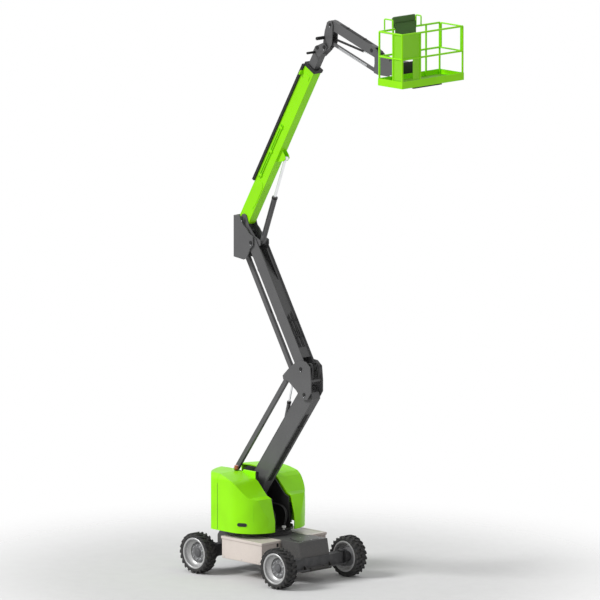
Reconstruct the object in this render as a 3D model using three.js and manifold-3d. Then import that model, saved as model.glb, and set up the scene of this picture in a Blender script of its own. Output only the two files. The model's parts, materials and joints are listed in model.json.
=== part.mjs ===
// Articulating boom lift: chassis, slewing turntable, two-stage tower, telescopic boom, jib and basket.
// Millimetres. +X is the way the booms point, +Y is the machine's left, +Z is up, the ground is Z = 0.
import * as THREE from 'three';
import { mergeVertices } from 'three/addons/utils/BufferGeometryUtils.js';
import Module from 'manifold-3d';

const wasm = await Module();
wasm.setup();

// ---------------------------------------------------------------- driving dimensions
const SEAT = 0.3; // gap between two pieces that are bolted, pressed or resting on each other
const PIN_GAP = 0.9; // radial gap between a pin and its bore
const SIDE_GAP = 6; // gap between the side faces of two moving pieces

const WHEEL = { base: 2400, track: 2000, radius: 425, width: 280, rimRadius: 305, flangeRadius: 326 };
const CHASSIS = { bottom: 300, top: 870, halfWidth: 355, rearEnd: -1300, wall: 16 };
const NOSE = { start: 660, bottom: 260, toe: 1310, brow: 1180, halfWidth: 410 };
const AXLE = { bottom: 300, top: 550, halfLength: 90, kingpinY: 780, bossRadius: 50, pinRadius: 25 };
const STEERING = { armForward: 165, armInward: 40, plateTop: 294, eyeZ: 317, barrelHalf: 250,
  barrelRadius: 32 };
const BATTERY = { rear: -580, front: 615, inner: 355, outer: 920, bottom: 390, top: 795, lidTop: 855,
  lip: 15 };
const SLEW = { radius: 385, top: 945 };
const DECK = { bottom: 945, top: 990, rear: -1120 };
const UPRIGHT = { inner: 225, thickness: 25 };
const HOOD = { inner: 285, outer: 950, bottom: 965, front: 350, shoulder: -300, seam: -670, wall: 25,
  round: 150 };
const TAIL = { radius: 1290, gap: 5 };
const HINGE = { y: 275, z: 2150, rear: -600, front: -220, barrel: 16, pin: 8 };
const WEIGHT = { front: -780, top: 1500, centreTop: 1885, notch: -1125 };

const LOWER_ARM = { x: -500, z: 1740, angle: 54, length: 2722, height: 400, halfWidth: 110, wall: 10,
  tail: 120 };
const BOOM = { x: -262, z: 480, angle: 60, length: 3840, height: 300, halfWidth: 105, wall: 10 };
const HEAD_CORE = 18; // thickness of the head plates between the boom and the upper arm
const UPPER_ARM = {
  angle: 121, length: 2870, height: 270, halfWidth: BOOM.halfWidth + HEAD_CORE + 2 * SIDE_GAP + 15, wall: 15, tail: 100,
};
const BRACKET_PIN = { x: -100, z: 528 }; // upper arm's pin seen from the lower arm's top pin
const LOWER_LINK = { x: -550, z: 300 }; // link pins seen from the lower arm's pins
const LINK = { height: 100, inner: 50, outer: 120, wall: 8 };
const TOWER_PIN = 35;
const LINK_PIN = 25;
const JIB_PIN = 18;
const BRACKET = { inner: UPPER_ARM.halfWidth + SIDE_GAP, thickness: 22 };

const JIB_BASE = { inner: 66, thickness: 18 };
const FLY = { tail: 1900, end: 4300, height: 200, halfWidth: 80, wall: 10, headThickness: 18 };
const FLY_HEAD_INNER = JIB_BASE.inner + JIB_BASE.thickness + SIDE_GAP;
const HEAD = {
  inner: UPPER_ARM.halfWidth + SIDE_GAP, thickness: 30, core: BOOM.halfWidth + SIDE_GAP, coreThickness: HEAD_CORE,
};
const COLLAR = { length: 75, margin: 28 };
const TRAY = { start: 854, endGap: 6, height: 60, width: 65, overhang: 30 };
const LIFT_BASE = { x: 160, z: 10 }; // lift cylinder's foot seen from the head's main pin
const LIFT_EYE = { x: 1738, z: -280 }; // lift cylinder's rod eye in the boom's own frame
const RISER_BASE = { x: LOWER_ARM.length - 1426, z: 19.5 }; // tower cylinder's foot in the lower arm's own frame
const RISER_EYE = { x: -470, z: 343 }; // tower cylinder's rod eye seen from the lower arm's top pin

const JIB_PIVOT = { x: FLY.end + 205, z: -124 }; // jib base's pin in the boom's own frame
const JIB = {
  x: 150, z: 480, angle: -18.5, length: 1420, height: 200, halfWidth: JIB_BASE.inner - SIDE_GAP, wall: 10,
};
const JIB_LINK = { x: -15, z: -380 }; // lower pins seen from the jib arm's pins
const JIB_RAM_FOOT = { x: -5, z: -300 }; // jib cylinder's foot seen from the jib arm's pin
const JIB_EYE = { x: 1340, z: -112 }; // jib cylinder's rod eye in the jib arm's own frame
const ROTATOR = { x: 645, radius: 105, bottom: -390, top: -110 }; // seen from the jib arm's end pin

const BASKET = { back: 880, front: 1590, halfLength: 880, floor: -410, toe: 150, rail: 670, tube: 21 };
const GATE = { swingGap: 12 };

// ---------------------------------------------------------------- materials
function paint(color, roughness, metalness) {
  return new THREE.MeshStandardMaterial({ color, roughness, metalness });
}

const lime = () => paint(0x9ff000, 0.4, 0.1);
const darkGrey = () => paint(0x5c5c5e, 0.5, 0.2);
const black = () => paint(0x1c1c1d, 0.6, 0.1);
const boxWhite = () => paint(0xe6d9d2, 0.5, 0.1);
const rubber = () => paint(0x222224, 0.9, 0);
const silver = () => paint(0xb9bbbd, 0.35, 0.7);
const chrome = () => paint(0xd5d8da, 0.15, 1);
const deepGreen = () => paint(0x2e5a00, 0.5, 0.1);
const castGrey = () => paint(0x48484a, 0.7, 0.2);

// ---------------------------------------------------------------- geometry helpers
function signedVolume(positions, triangles) {
  const a = new THREE.Vector3();
  const b = new THREE.Vector3();
  const c = new THREE.Vector3();
  let volume = 0;
  for (let i = 0; i < triangles.length; i += 3) {
    a.fromArray(positions, 3 * triangles[i]);
    b.fromArray(positions, 3 * triangles[i + 1]);
    c.fromArray(positions, 3 * triangles[i + 2]);
    volume += a.dot(b.cross(c)) / 6;
  }
  return volume;
}

/** Turns a closed geometry into a solid for joining and cutting. */
function solid(geometry) {
  geometry.deleteAttribute('normal');
  geometry.deleteAttribute('uv');
  const merged = mergeVertices(geometry, 1e-3);
  const vertProperties = new Float32Array(merged.attributes.position.array);
  const triVerts = new Uint32Array(merged.index.array);
  if (signedVolume(vertProperties, triVerts) < 0) {
    for (let i = 0; i < triVerts.length; i += 3) {
      [triVerts[i], triVerts[i + 1]] = [triVerts[i + 1], triVerts[i]];
    }
  }
  return new wasm.Manifold(new wasm.Mesh({ numProp: 3, vertProperties, triVerts }));
}

function join(...solids) {
  return solids.reduce((sum, next) => sum.add(next));
}

function cut(body, ...tools) {
  return tools.reduce((rest, tool) => rest.subtract(tool), body);
}

/** Names a solid and gives it its material. */
function piece(name, body, material) {
  const mesh = body.getMesh();
  const geometry = new THREE.BufferGeometry();
  geometry.setAttribute('position', new THREE.BufferAttribute(new Float32Array(mesh.vertProperties), 3));
  geometry.setIndex(new THREE.BufferAttribute(new Uint32Array(mesh.triVerts), 1));
  geometry.computeVertexNormals();
  const part = new THREE.Mesh(geometry, material);
  part.name = name;
  return part;
}

function block([x0, x1], [y0, y1], [z0, z1]) {
  const box = new THREE.BoxGeometry(x1 - x0, y1 - y0, z1 - z0);
  box.translate((x0 + x1) / 2, (y0 + y1) / 2, (z0 + z1) / 2);
  return solid(box);
}

function outline(points) {
  return new THREE.Shape(points.map(([a, b]) => new THREE.Vector2(a, b)));
}

/** A plate whose outline is given in X and Z, between two values of Y. */
function plateXZ(points, y0, y1) {
  const shape = points instanceof THREE.Shape ? points : outline(points);
  const plate = new THREE.ExtrudeGeometry(shape, { depth: y1 - y0, bevelEnabled: false, curveSegments: 5 });
  plate.rotateX(Math.PI / 2);
  plate.translate(0, y1, 0);
  return solid(plate);
}

/** A plate whose outline is given in X and Y, between two values of Z. */
function plateXY(points, z0, z1) {
  const shape = points instanceof THREE.Shape ? points : outline(points);
  const plate = new THREE.ExtrudeGeometry(shape, { depth: z1 - z0, bevelEnabled: false, curveSegments: 7 });
  plate.translate(0, 0, z0);
  return solid(plate);
}

/** A prism whose outline is given in Y and Z, between two values of X. */
function prismYZ(points, x0, x1) {
  const shape = points instanceof THREE.Shape ? points : outline(points);
  const prism = new THREE.ExtrudeGeometry(shape, { depth: x1 - x0, bevelEnabled: false, curveSegments: 4 });
  prism.rotateX(Math.PI / 2);
  prism.rotateZ(Math.PI / 2);
  prism.translate(x0, 0, 0);
  return solid(prism);
}

function roundY(radius, x, z, y0, y1, sides = 20) {
  const rod = new THREE.CylinderGeometry(radius, radius, y1 - y0, sides);
  rod.translate(x, (y0 + y1) / 2, z);
  return solid(rod);
}

function roundZ(radius, x, y, z0, z1, sides = 16) {
  const rod = new THREE.CylinderGeometry(radius, radius, z1 - z0, sides);
  rod.rotateX(Math.PI / 2);
  rod.translate(x, y, (z0 + z1) / 2);
  return solid(rod);
}

function roundX(radius, y, z, x0, x1, sides = 16) {
  const rod = new THREE.CylinderGeometry(radius, radius, x1 - x0, sides);
  rod.rotateZ(Math.PI / 2);
  rod.translate((x0 + x1) / 2, y, z);
  return solid(rod);
}

/** A pair of mirror-image plates either side of the middle. */
function twinPlates(points, inner, thickness) {
  return [plateXZ(points, inner, inner + thickness), plateXZ(points, -inner - thickness, -inner)];
}

/** The outline of a straight bar with round ends, along X. */
function barOutline(start, end, halfHeight) {
  const shape = new THREE.Shape();
  shape.moveTo(start, -halfHeight);
  shape.lineTo(end, -halfHeight);
  shape.absarc(end, 0, halfHeight, -Math.PI / 2, Math.PI / 2, false);
  shape.lineTo(start, halfHeight);
  shape.absarc(start, 0, halfHeight, Math.PI / 2, 1.5 * Math.PI, false);
  return shape;
}

/** A group at a point of the side view, turned so that its +X points up at an angle. */
function turnedGroup(x, z, degrees, ...parts) {
  const group = new THREE.Group();
  group.position.set(x, 0, z);
  group.rotation.y = -THREE.MathUtils.degToRad(degrees);
  group.add(...parts);
  return group;
}

function polar(length, degrees) {
  const angle = THREE.MathUtils.degToRad(degrees);
  return { x: length * Math.cos(angle), z: length * Math.sin(angle) };
}

function plus(a, b) {
  return { x: a.x + b.x, z: a.z + b.z };
}

function minus(a, b) {
  return { x: a.x - b.x, z: a.z - b.z };
}

function headingOf(vector) {
  return THREE.MathUtils.radToDeg(Math.atan2(vector.z, vector.x));
}

/** Turns a vector of a tilted frame into the machine's frame. */
function tilted(vector, degrees) {
  const along = polar(vector.x, degrees);
  const across = polar(vector.z, degrees + 90);
  return plus(along, across);
}

// ---------------------------------------------------------------- pin positions in the side view
const lowerFoot = { x: LOWER_ARM.x, z: LOWER_ARM.z };
const lowerTop = plus(lowerFoot, polar(LOWER_ARM.length, LOWER_ARM.angle));
const lowerLinkFoot = plus(lowerFoot, LOWER_LINK);
const sharedLinkPin = plus(lowerTop, LOWER_LINK);
const upperFoot = plus(lowerTop, BRACKET_PIN);
const headPin = plus(upperFoot, polar(UPPER_ARM.length, UPPER_ARM.angle));
const headLinkPin = plus(headPin, minus(sharedLinkPin, upperFoot));
const boomPin = plus(headPin, BOOM);
const liftBase = plus(headPin, LIFT_BASE);
const liftEye = plus(boomPin, tilted(LIFT_EYE, BOOM.angle));
const riserBase = plus(lowerFoot, tilted(RISER_BASE, LOWER_ARM.angle));
const riserEye = plus(lowerTop, RISER_EYE);
const jibBasePin = plus(boomPin, tilted(JIB_PIVOT, BOOM.angle));
const jibPin = plus(jibBasePin, JIB);
const jibLinkPin = plus(jibPin, JIB_LINK);
const jibEnd = plus(jibPin, polar(JIB.length, JIB.angle));
const jibLinkEnd = plus(jibEnd, JIB_LINK);
const jibRamFoot = plus(jibPin, JIB_RAM_FOOT);
const jibEye = plus(jibPin, tilted(JIB_EYE, JIB.angle));

// ---------------------------------------------------------------- wheels, axles and steering
function latheY(profile, sides) {
  const points = profile.map(([r, y]) => new THREE.Vector2(r, y));
  return new THREE.LatheGeometry(points, sides);
}

function tyreSolid() {
  const half = WHEEL.width / 2;
  const bead = WHEEL.rimRadius;
  const side = [[bead, half - 22], [bead + 27, half - 22], [bead + 65, half - 2], [WHEEL.radius - 20,
    half]];
  const tread = [WHEEL.radius, half - 20];
  const upper = [...side, tread];
  const lower = upper.map(([r, y]) => [r, -y]).reverse();
  return solid(latheY([...upper, ...lower, upper[0]], 28));
}

function rimSolid() {
  const bead = WHEEL.rimRadius - 0.5;
  const flange = WHEEL.flangeRadius;
  const seatY = WHEEL.width / 2 - 21.5;
  const lipY = seatY + 12;
  const profile = [
    [0, 45], [105, 45], [105, 12], [215, 12], [280, 60], [292, lipY], [flange, lipY], [flange, seatY],
    [bead, seatY], [bead, -seatY], [flange, -seatY], [flange, -lipY], [290, -lipY], [283, -15], [0, -15],
  ];
  return solid(latheY(profile, 28));
}

function wheel(label, x, side) {
  const group = new THREE.Group();
  group.position.set(x, side * WHEEL.track / 2, WHEEL.radius);
  group.rotation.z = side > 0 ? 0 : Math.PI;
  group.add(piece(`tyre_${label}`, tyreSolid(), rubber()));
  group.add(piece(`wheel_${label}`, rimSolid(), silver()));
  return group;
}

const hubFace = WHEEL.track / 2 - 15 - 0.5;
const spindleRadius = 110;

function knuckle(label, side) {
  const x = WHEEL.base / 2;
  const z = WHEEL.radius;
  const pinY = AXLE.kingpinY;
  const webInner = AXLE.kingpinY + 58;
  const webOuter = webInner + 28;
  const lugGap = SIDE_GAP - 0.5;
  const lugs = [[AXLE.top + lugGap, AXLE.top + 40], [STEERING.plateTop - 29, STEERING.plateTop]];
  const plates = lugs.map(([z0, z1]) => join(
    roundZ(62, x, side * pinY, z0, z1),
    block([x - 62, x + 62], side > 0 ? [pinY, webOuter] : [-webOuter, -pinY], [z0, z1]),
  ));
  const webY = side > 0 ? [webInner, webOuter] : [-webOuter, -webInner];
  const spindleY = side > 0 ? [webInner, hubFace] : [-hubFace, -webInner];
  const armTip = [x + STEERING.armForward, side * (pinY - STEERING.armInward)];
  const arm = plateXY([
    [x, side * (pinY - 45)], [armTip[0], armTip[1] - side * 28], [armTip[0], armTip[1] + side * 28],
    [x, side * (pinY + 50)],
  ], lugs[1][0], lugs[1][1]);
  const body = join(
    ...plates,
    block([x - 90, x + 90], webY, [lugs[1][0], lugs[0][1]]),
    roundY(spindleRadius, x, z, spindleY[0], spindleY[1], 24),
    roundZ(AXLE.pinRadius, x, side * pinY, lugs[1][0], lugs[0][1]),
    arm,
    roundZ(30, armTip[0], armTip[1], lugs[1][0], lugs[1][1]),
  );
  return piece(`knuckle_${label}`, body, castGrey());
}

function axleBeam(x, reach) {
  return block([x - AXLE.halfLength, x + AXLE.halfLength], [-reach, reach], [AXLE.bottom, AXLE.top]);
}

function frontAxle() {
  const x = WHEEL.base / 2;
  const bosses = [-1, 1].map((side) => roundZ(AXLE.bossRadius, x, side * AXLE.kingpinY, AXLE.bottom,
    AXLE.top));
  const bores = [-1, 1].map((side) => roundZ(
    AXLE.pinRadius + PIN_GAP, x, side * AXLE.kingpinY, AXLE.bottom - 1, AXLE.top + 1,
  ));
  const reach = AXLE.kingpinY - 45;
  const arms = block([x - 45, x + 45], [-AXLE.kingpinY, AXLE.kingpinY], [AXLE.bottom, AXLE.top]);
  const body = cut(join(axleBeam(x, reach - 20), arms, ...bosses), ...bores);
  return piece('front_axle', body, castGrey());
}

function rearAxle() {
  const x = -WHEEL.base / 2;
  const motors = roundY(spindleRadius, x, WHEEL.radius, -hubFace, hubFace, 24);
  const housings = roundY(AXLE.halfLength + 50, x, WHEEL.radius, -830, 830, 24);
  return piece('rear_axle', join(axleBeam(x, 800), motors, housings), castGrey());
}

const steeringX = WHEEL.base / 2 + STEERING.armForward;

function steeringCylinder() {
  const z = STEERING.eyeZ;
  const barrel = roundY(STEERING.barrelRadius, steeringX, z, -STEERING.barrelHalf, STEERING.barrelHalf);
  const feet = [-1, 1].map((side) => {
    const y = side * (STEERING.barrelHalf - 60);
    return block([noseFaceX(z - 28) + SEAT, steeringX], [y - 15, y + 15], [z - 28, z + 28]);
  });
  const bore = roundY(16 + PIN_GAP, steeringX, z, -STEERING.barrelHalf - 1, STEERING.barrelHalf + 1);
  return piece('steering_cylinder', cut(join(barrel, ...feet), bore), black());
}

function steeringRod() {
  const z = STEERING.eyeZ;
  const tipY = AXLE.kingpinY - STEERING.armInward;
  const rod = roundY(16, steeringX, z, -tipY, tipY);
  const eyes = [-1, 1].map((side) => roundZ(26, steeringX, side * tipY, z - 17, z + 17));
  return piece('steering_rod', join(rod, ...eyes), chrome());
}

// ---------------------------------------------------------------- chassis
/** X of the nose's sloping front face at a height. */
function noseFaceX(z) {
  const share = (z - NOSE.bottom) / (CHASSIS.top - NOSE.bottom);
  return NOSE.toe + share * (NOSE.brow - NOSE.toe);
}

function chassisFrame() {
  const wall = CHASSIS.wall;
  const spine = [
    [CHASSIS.rearEnd, CHASSIS.bottom + 40], [CHASSIS.rearEnd, CHASSIS.top - 160], [CHASSIS.rearEnd + 110,
      CHASSIS.top],
    [NOSE.start + 40, CHASSIS.top], [NOSE.start + 40, CHASSIS.bottom],
  ];
  const nose = [
    [NOSE.start, NOSE.bottom], [NOSE.start, CHASSIS.top], [NOSE.brow, CHASSIS.top], [NOSE.toe, NOSE.bottom],
  ];
  const spineInside = [
    [CHASSIS.rearEnd + wall, CHASSIS.bottom - 60], [CHASSIS.rearEnd + wall, CHASSIS.top - 165],
    [CHASSIS.rearEnd + 115, CHASSIS.top - wall], [NOSE.start + wall, CHASSIS.top - wall],
    [NOSE.start + wall, CHASSIS.bottom - 60],
  ];
  const noseInside = [
    [NOSE.start + wall, NOSE.bottom - 1], [NOSE.start + wall, CHASSIS.top - wall],
    [NOSE.brow - wall, CHASSIS.top - wall], [NOSE.toe - wall, NOSE.bottom - 1],
  ];
  const tunnels = [-1, 1].map((end) => block(
    [end * WHEEL.base / 2 - AXLE.halfLength - SEAT, end * WHEEL.base / 2 + AXLE.halfLength + SEAT],
    [-NOSE.halfWidth - 1, NOSE.halfWidth + 1],
    [AXLE.bottom - SEAT, AXLE.top + SEAT],
  ));
  const rearHousing = roundY(
    AXLE.halfLength + 50 + SEAT, -WHEEL.base / 2, WHEEL.radius, -CHASSIS.halfWidth - 1,
      CHASSIS.halfWidth + 1, 24,
  );
  const body = cut(
    join(plateXZ(spine, -CHASSIS.halfWidth, CHASSIS.halfWidth), plateXZ(nose, -NOSE.halfWidth,
      NOSE.halfWidth)),
    plateXZ(spineInside, -CHASSIS.halfWidth + wall, CHASSIS.halfWidth - wall),
    plateXZ(noseInside, -NOSE.halfWidth + wall, NOSE.halfWidth - wall),
    ...tunnels,
    rearHousing,
  );
  return piece('chassis_frame', body, darkGrey());
}

function batteryBox(label, side) {
  const [inner, outer] = [BATTERY.inner + SEAT, BATTERY.outer];
  const y = side > 0 ? [inner, outer] : [-outer, -inner];
  const group = new THREE.Group();
  const lidY = side > 0 ? [inner, outer + BATTERY.lip] : [-outer - BATTERY.lip, -inner];
  const rim = [BATTERY.rear - BATTERY.lip, BATTERY.front + BATTERY.lip];
  group.add(piece(`battery_box_${label}`, block([BATTERY.rear, BATTERY.front], y, [BATTERY.bottom, BATTERY.top]), boxWhite()));
  group.add(piece(`battery_lid_${label}`, block(rim, lidY, [BATTERY.top + SEAT, BATTERY.lidTop]), boxWhite()));
  return group;
}

function slewBearing() {
  const profile = [
    [250, CHASSIS.top + SEAT], [SLEW.radius, CHASSIS.top + SEAT], [SLEW.radius, CHASSIS.top + 35],
    [SLEW.radius - 25, CHASSIS.top + 35], [SLEW.radius - 25, SLEW.top], [250, SLEW.top], [250,
      CHASSIS.top + SEAT],
  ];
  const ring = latheY(profile, 28);
  ring.rotateX(Math.PI / 2);
  return piece('slew_bearing', solid(ring), black());
}

// ---------------------------------------------------------------- turntable
/** The line that the hoods' top edge and the uprights follow, from the front up and back. */
const rimLine = [
  [HOOD.front, HOOD.bottom], [230, 1665], [110, 1705], [-155, 1970], [-270, 2040], [-480, 2100], [-690,
    2140],
  [-1000, 2150],
];

function turntableFrame() {
  const deckOutline = [
    [DECK.rear, -560], [-700, -720], [0, -560], [180, -400], [260, -250],
    [260, 250], [180, 400], [0, 560], [-700, 720], [DECK.rear, 560],
  ];
  const uprightOutline = [
    [260, DECK.top - 10], [210, 1630], [95, 1675], [-165, 1940], [-280, 2010], [-490, 2070], [-690, 2110],
    [-1000, 2120], [-1100, 2060], [DECK.rear, DECK.top - 10],
  ];
  const pedestal = [
    [lowerLinkFoot.x - 60, DECK.top - 10], [lowerLinkFoot.x - 60, lowerLinkFoot.z - 10],
    [lowerLinkFoot.x - 35, lowerLinkFoot.z + 42], [lowerLinkFoot.x + 35, lowerLinkFoot.z + 42],
    [lowerLinkFoot.x + 60, lowerLinkFoot.z - 10], [lowerLinkFoot.x + 60, DECK.top - 10],
  ];
  const lugs = [[-LINK.outer - 30, -LINK.outer - SIDE_GAP], [-LINK.inner + SIDE_GAP, -LINK.inner + 30]];
  const web = block(
    [lowerLinkFoot.x - 60, lowerLinkFoot.x + 60], [lugs[0][0], lugs[1][1]], [DECK.top - 10,
      lowerLinkFoot.z - 230],
  );
  const hingeLugs = [-1, 1].flatMap((side) => [HINGE.rear, HINGE.front].map((x) => {
    const lugX = x === HINGE.rear ? [x - 20, x] : [x, x + 20];
    const inner = UPRIGHT.inner + 5;
    return prismYZ([
      [side * inner, 1960], [side * inner, HINGE.z + 12], [side * (HINGE.y + 12), HINGE.z + 12],
      [side * (HINGE.y + 12), HINGE.z - 14], [side * (inner + 19), 1960],
    ], lugX[0], lugX[1]);
  }));
  const hingePins = [-1, 1].map((side) => roundX(HINGE.pin, side * HINGE.y, HINGE.z, HINGE.rear - 20,
    HINGE.front + 20));
  const body = join(
    plateXY(deckOutline, DECK.bottom + 0.5, DECK.top),
    ...twinPlates(uprightOutline, UPRIGHT.inner, UPRIGHT.thickness),
    ...lugs.map(([y0, y1]) => plateXZ(pedestal, y0, y1)),
    web,
    roundY(LINK_PIN, lowerLinkFoot.x, lowerLinkFoot.z, lugs[0][0], lugs[1][1]),
    roundY(TOWER_PIN, lowerFoot.x, lowerFoot.z, -UPRIGHT.inner - 5, UPRIGHT.inner + 5),
    ...hingeLugs,
    ...hingePins,
  );
  return piece('turntable_frame', body, black());
}

function tailArc(radius, halfWidth) {
  const shape = new THREE.Shape();
  const reach = Math.asin(halfWidth / radius);
  shape.absarc(0, 0, radius, Math.PI - reach, Math.PI + reach, false);
  return shape;
}

function counterweight() {
  const radius = TAIL.radius - HOOD.wall - 10;
  const halfWidth = HOOD.outer - HOOD.wall - SEAT;
  const arc = tailArc(radius, halfWidth);
  arc.lineTo(WEIGHT.front, -halfWidth);
  arc.lineTo(WEIGHT.front, halfWidth);
  const inner = UPRIGHT.inner + UPRIGHT.thickness + SEAT;
  const notch = block([WEIGHT.notch, 0], [-inner, inner], [DECK.bottom, WEIGHT.centreTop + 1]);
  const centre = tailArc(radius, HOOD.inner - 5);
  centre.lineTo(WEIGHT.notch, -HOOD.inner + 5);
  centre.lineTo(WEIGHT.notch, HOOD.inner - 5);
  const body = join(
    cut(plateXY(arc, DECK.top + SEAT, WEIGHT.top), notch),
    plateXY(centre, WEIGHT.top - 20, WEIGHT.centreTop),
  );
  return piece('counterweight', body, castGrey());
}

/** Plan outline of one side's covers on the +Y side, shrunk by an inset. */
function coverPlan(inset, openTo) {
  const shape = new THREE.Shape();
  const outer = HOOD.outer - inset;
  const radius = TAIL.radius - inset;
  const from = Math.PI - Math.asin(outer / radius);
  const to = Math.PI - Math.asin(openTo / radius);
  shape.moveTo(HOOD.front - inset, openTo);
  shape.absellipse(
    HOOD.shoulder, openTo, HOOD.front - inset - HOOD.shoulder, outer - openTo, 0, Math.PI / 2, false,
  );
  shape.absarc(0, 0, radius, from, to, false);
  return shape;
}

/** The covers' side view, shrunk by an inset from the top edge. */
function coverSide(inset, bottom) {
  const top = rimLine.slice(1).map(([x, z]) => [x - inset * 0.6, z - inset]);
  const rear = -TAIL.radius - 10;
  return [[HOOD.front + 60, bottom], [HOOD.front + 60, HOOD.bottom], ...top, [rear, 2140 - inset], [rear,
    bottom]];
}

function coverBody(side, inset, openTo, bottom) {
  const outer = HOOD.outer + 1;
  const crown = 2155 - inset;
  const round = HOOD.round - inset;
  const section = new THREE.Shape();
  section.moveTo(openTo, bottom);
  section.lineTo(outer - inset, bottom);
  section.lineTo(outer - inset, crown - round);
  section.absarc(outer - inset - round, crown - round, round, 0, Math.PI / 2, false);
  section.lineTo(openTo, crown);
  const plan = plateXY(coverPlan(inset, openTo), bottom, 2200);
  const view = plateXZ(coverSide(inset, bottom), openTo, outer);
  const whole = plan.intersect(view).intersect(prismYZ(section, -TAIL.radius - 20, HOOD.front + 20));
  return side > 0 ? whole : whole.mirror([0, 1, 0]);
}

function covers(label, side) {
  const group = new THREE.Group();
  const shell = cut(
    coverBody(side, 0, HOOD.inner, HOOD.bottom),
    coverBody(side, HOOD.wall, HOOD.inner - 60, HOOD.bottom - 60),
  );
  const span = side > 0 ? [0, 1000] : [-1000, 0];
  const hoodHalf = shell.intersect(block([HOOD.seam, 400], span, [900, 2250]));
  const tailHalf = shell.intersect(block([-1400, HOOD.seam - TAIL.gap], span, [900, 2250]));
  const hingeX = [HINGE.rear + SIDE_GAP, HINGE.front - SIDE_GAP];
  const flangeY = side > 0 ? [HOOD.inner, HOOD.inner + 18] : [-HOOD.inner - 18, -HOOD.inner];
  const flange = block(hingeX, flangeY, [2020, HINGE.z]);
  const strap = block(hingeX, side > 0 ? [HINGE.y, HOOD.inner + 2] : [-HOOD.inner - 2, -HINGE.y],
    [HINGE.z - 16, HINGE.z]);
  const barrel = roundX(HINGE.barrel, side * HINGE.y, HINGE.z, hingeX[0], hingeX[1]);
  const bore = roundX(HINGE.pin + PIN_GAP, side * HINGE.y, HINGE.z, hingeX[0] - 1, hingeX[1] + 1);
  group.add(piece(`hood_${label}`, cut(join(hoodHalf, flange, strap, barrel), bore), lime()));
  group.add(piece(`tail_cover_${label}`, tailHalf, lime()));
  return group;
}

function powerUnits() {
  const group = new THREE.Group();
  const z = [DECK.top + SEAT, 1420];
  const inner = UPRIGHT.inner + UPRIGHT.thickness + 20;
  group.add(piece('hydraulic_unit', block([-620, -120], [inner, 660], z), castGrey()));
  group.add(piece('drive_controller', block([-620, -120], [-660, -inner], z), black()));
  return group;
}

// ---------------------------------------------------------------- tower
/** A hollow rectangular tube along X, open at both ends. */
function boxTube(x0, x1, halfWidth, height, wall) {
  const outer = block([x0, x1], [-halfWidth, halfWidth], [-height / 2, height / 2]);
  const inside = block(
    [x0 - 1, x1 + 1], [-halfWidth + wall, halfWidth - wall], [-height / 2 + wall, height / 2 - wall],
  );
  return cut(outer, inside);
}

function lowerArm() {
  const { length, halfWidth, height, wall, tail } = LOWER_ARM;
  const half = height / 2;
  const side = [
    [-90, -70], [40, -half], [length + 40, -half], [length + tail, -half + 110], [length + tail,
      half - 110],
    [length + 40, half], [60, half], [-90, 70],
  ];
  const inside = [
    [-60, -50], [60, -half + wall], [length - 40, -half + wall], [length + tail + 1, -half + 130],
    [length + tail + 1, half - 130], [length - 40, half - wall], [80, half - wall], [-60, 50],
  ];
  const slotY = halfWidth - 35;
  const body = join(
    cut(
      plateXZ(side, -halfWidth, halfWidth),
      plateXZ(inside, -halfWidth + wall, halfWidth - wall),
      block([RISER_BASE.x - 60, length + tail + 2], [-slotY, slotY], [0, half + 1]),
    ),
    roundY(80, 0, 0, -UPRIGHT.inner + SIDE_GAP, UPRIGHT.inner - SIDE_GAP),
    roundY(80, length, 0, -BRACKET.inner + SIDE_GAP, BRACKET.inner - SIDE_GAP),
    roundY(LINK_PIN, RISER_BASE.x, RISER_BASE.z, -halfWidth + 2, halfWidth - 2),
  );
  const bores = [0, length].map((x) => roundY(TOWER_PIN + PIN_GAP, x, 0, -UPRIGHT.inner, UPRIGHT.inner));
  return turnedGroup(lowerFoot.x, lowerFoot.z, LOWER_ARM.angle, piece('lower_arm', cut(body, ...bores),
    darkGrey()));
}

/** A hollow link bar with an eye at each end; it lies on one side of the middle. */
function linkBar(name, foot, top, y0, y1) {
  const span = minus(top, foot);
  const length = Math.hypot(span.x, span.z);
  const half = LINK.height / 2;
  const body = cut(
    plateXZ(barOutline(0, length, half), y0, y1),
    block([half, length - half], [y0 + LINK.wall, y1 - LINK.wall], [-half + LINK.wall, half - LINK.wall]),
    block([length / 2 - 40, length / 2 + 40], [(y0 + y1) / 2 - 12, (y0 + y1) / 2 + 12], [-half - 1, 0]),
    roundY(LINK_PIN + PIN_GAP, 0, 0, y0 - 1, y1 + 1),
    roundY(LINK_PIN + PIN_GAP, length, 0, y0 - 1, y1 + 1),
  );
  return turnedGroup(foot.x, foot.z, headingOf(span), piece(name, body, darkGrey()));
}

function midBracket() {
  const at = ([x, z]) => [lowerTop.x + x, lowerTop.z + z];
  const plate = [
    [-620, 240], [-640, 320], [-590, 370], [-430, 520], [-260, 640], [-100, 700], [40, 690], [170, 590],
      [200, 300],
    [200, 60], [90, -100], [-70, -110], [-240, 60], [-480, 225],
  ].map(at);
  const reach = BRACKET.inner + BRACKET.thickness;
  const linkPinTip = 3 - LINK.inner;
  const pin = (radius, point) => roundY(radius, point.x, point.z, -reach, reach);
  const body = join(
    ...twinPlates(plate, BRACKET.inner, BRACKET.thickness),
    pin(TOWER_PIN, lowerTop),
    pin(TOWER_PIN, upperFoot),
    roundY(LINK_PIN, sharedLinkPin.x, sharedLinkPin.z, -reach, linkPinTip),
    roundY(LINK_PIN, sharedLinkPin.x, sharedLinkPin.z, -linkPinTip, reach),
    roundY(30, lowerTop.x + 145, lowerTop.z + 292, -BRACKET.inner - 2, BRACKET.inner + 2),
  );
  return piece('mid_bracket', body, darkGrey());
}

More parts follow.
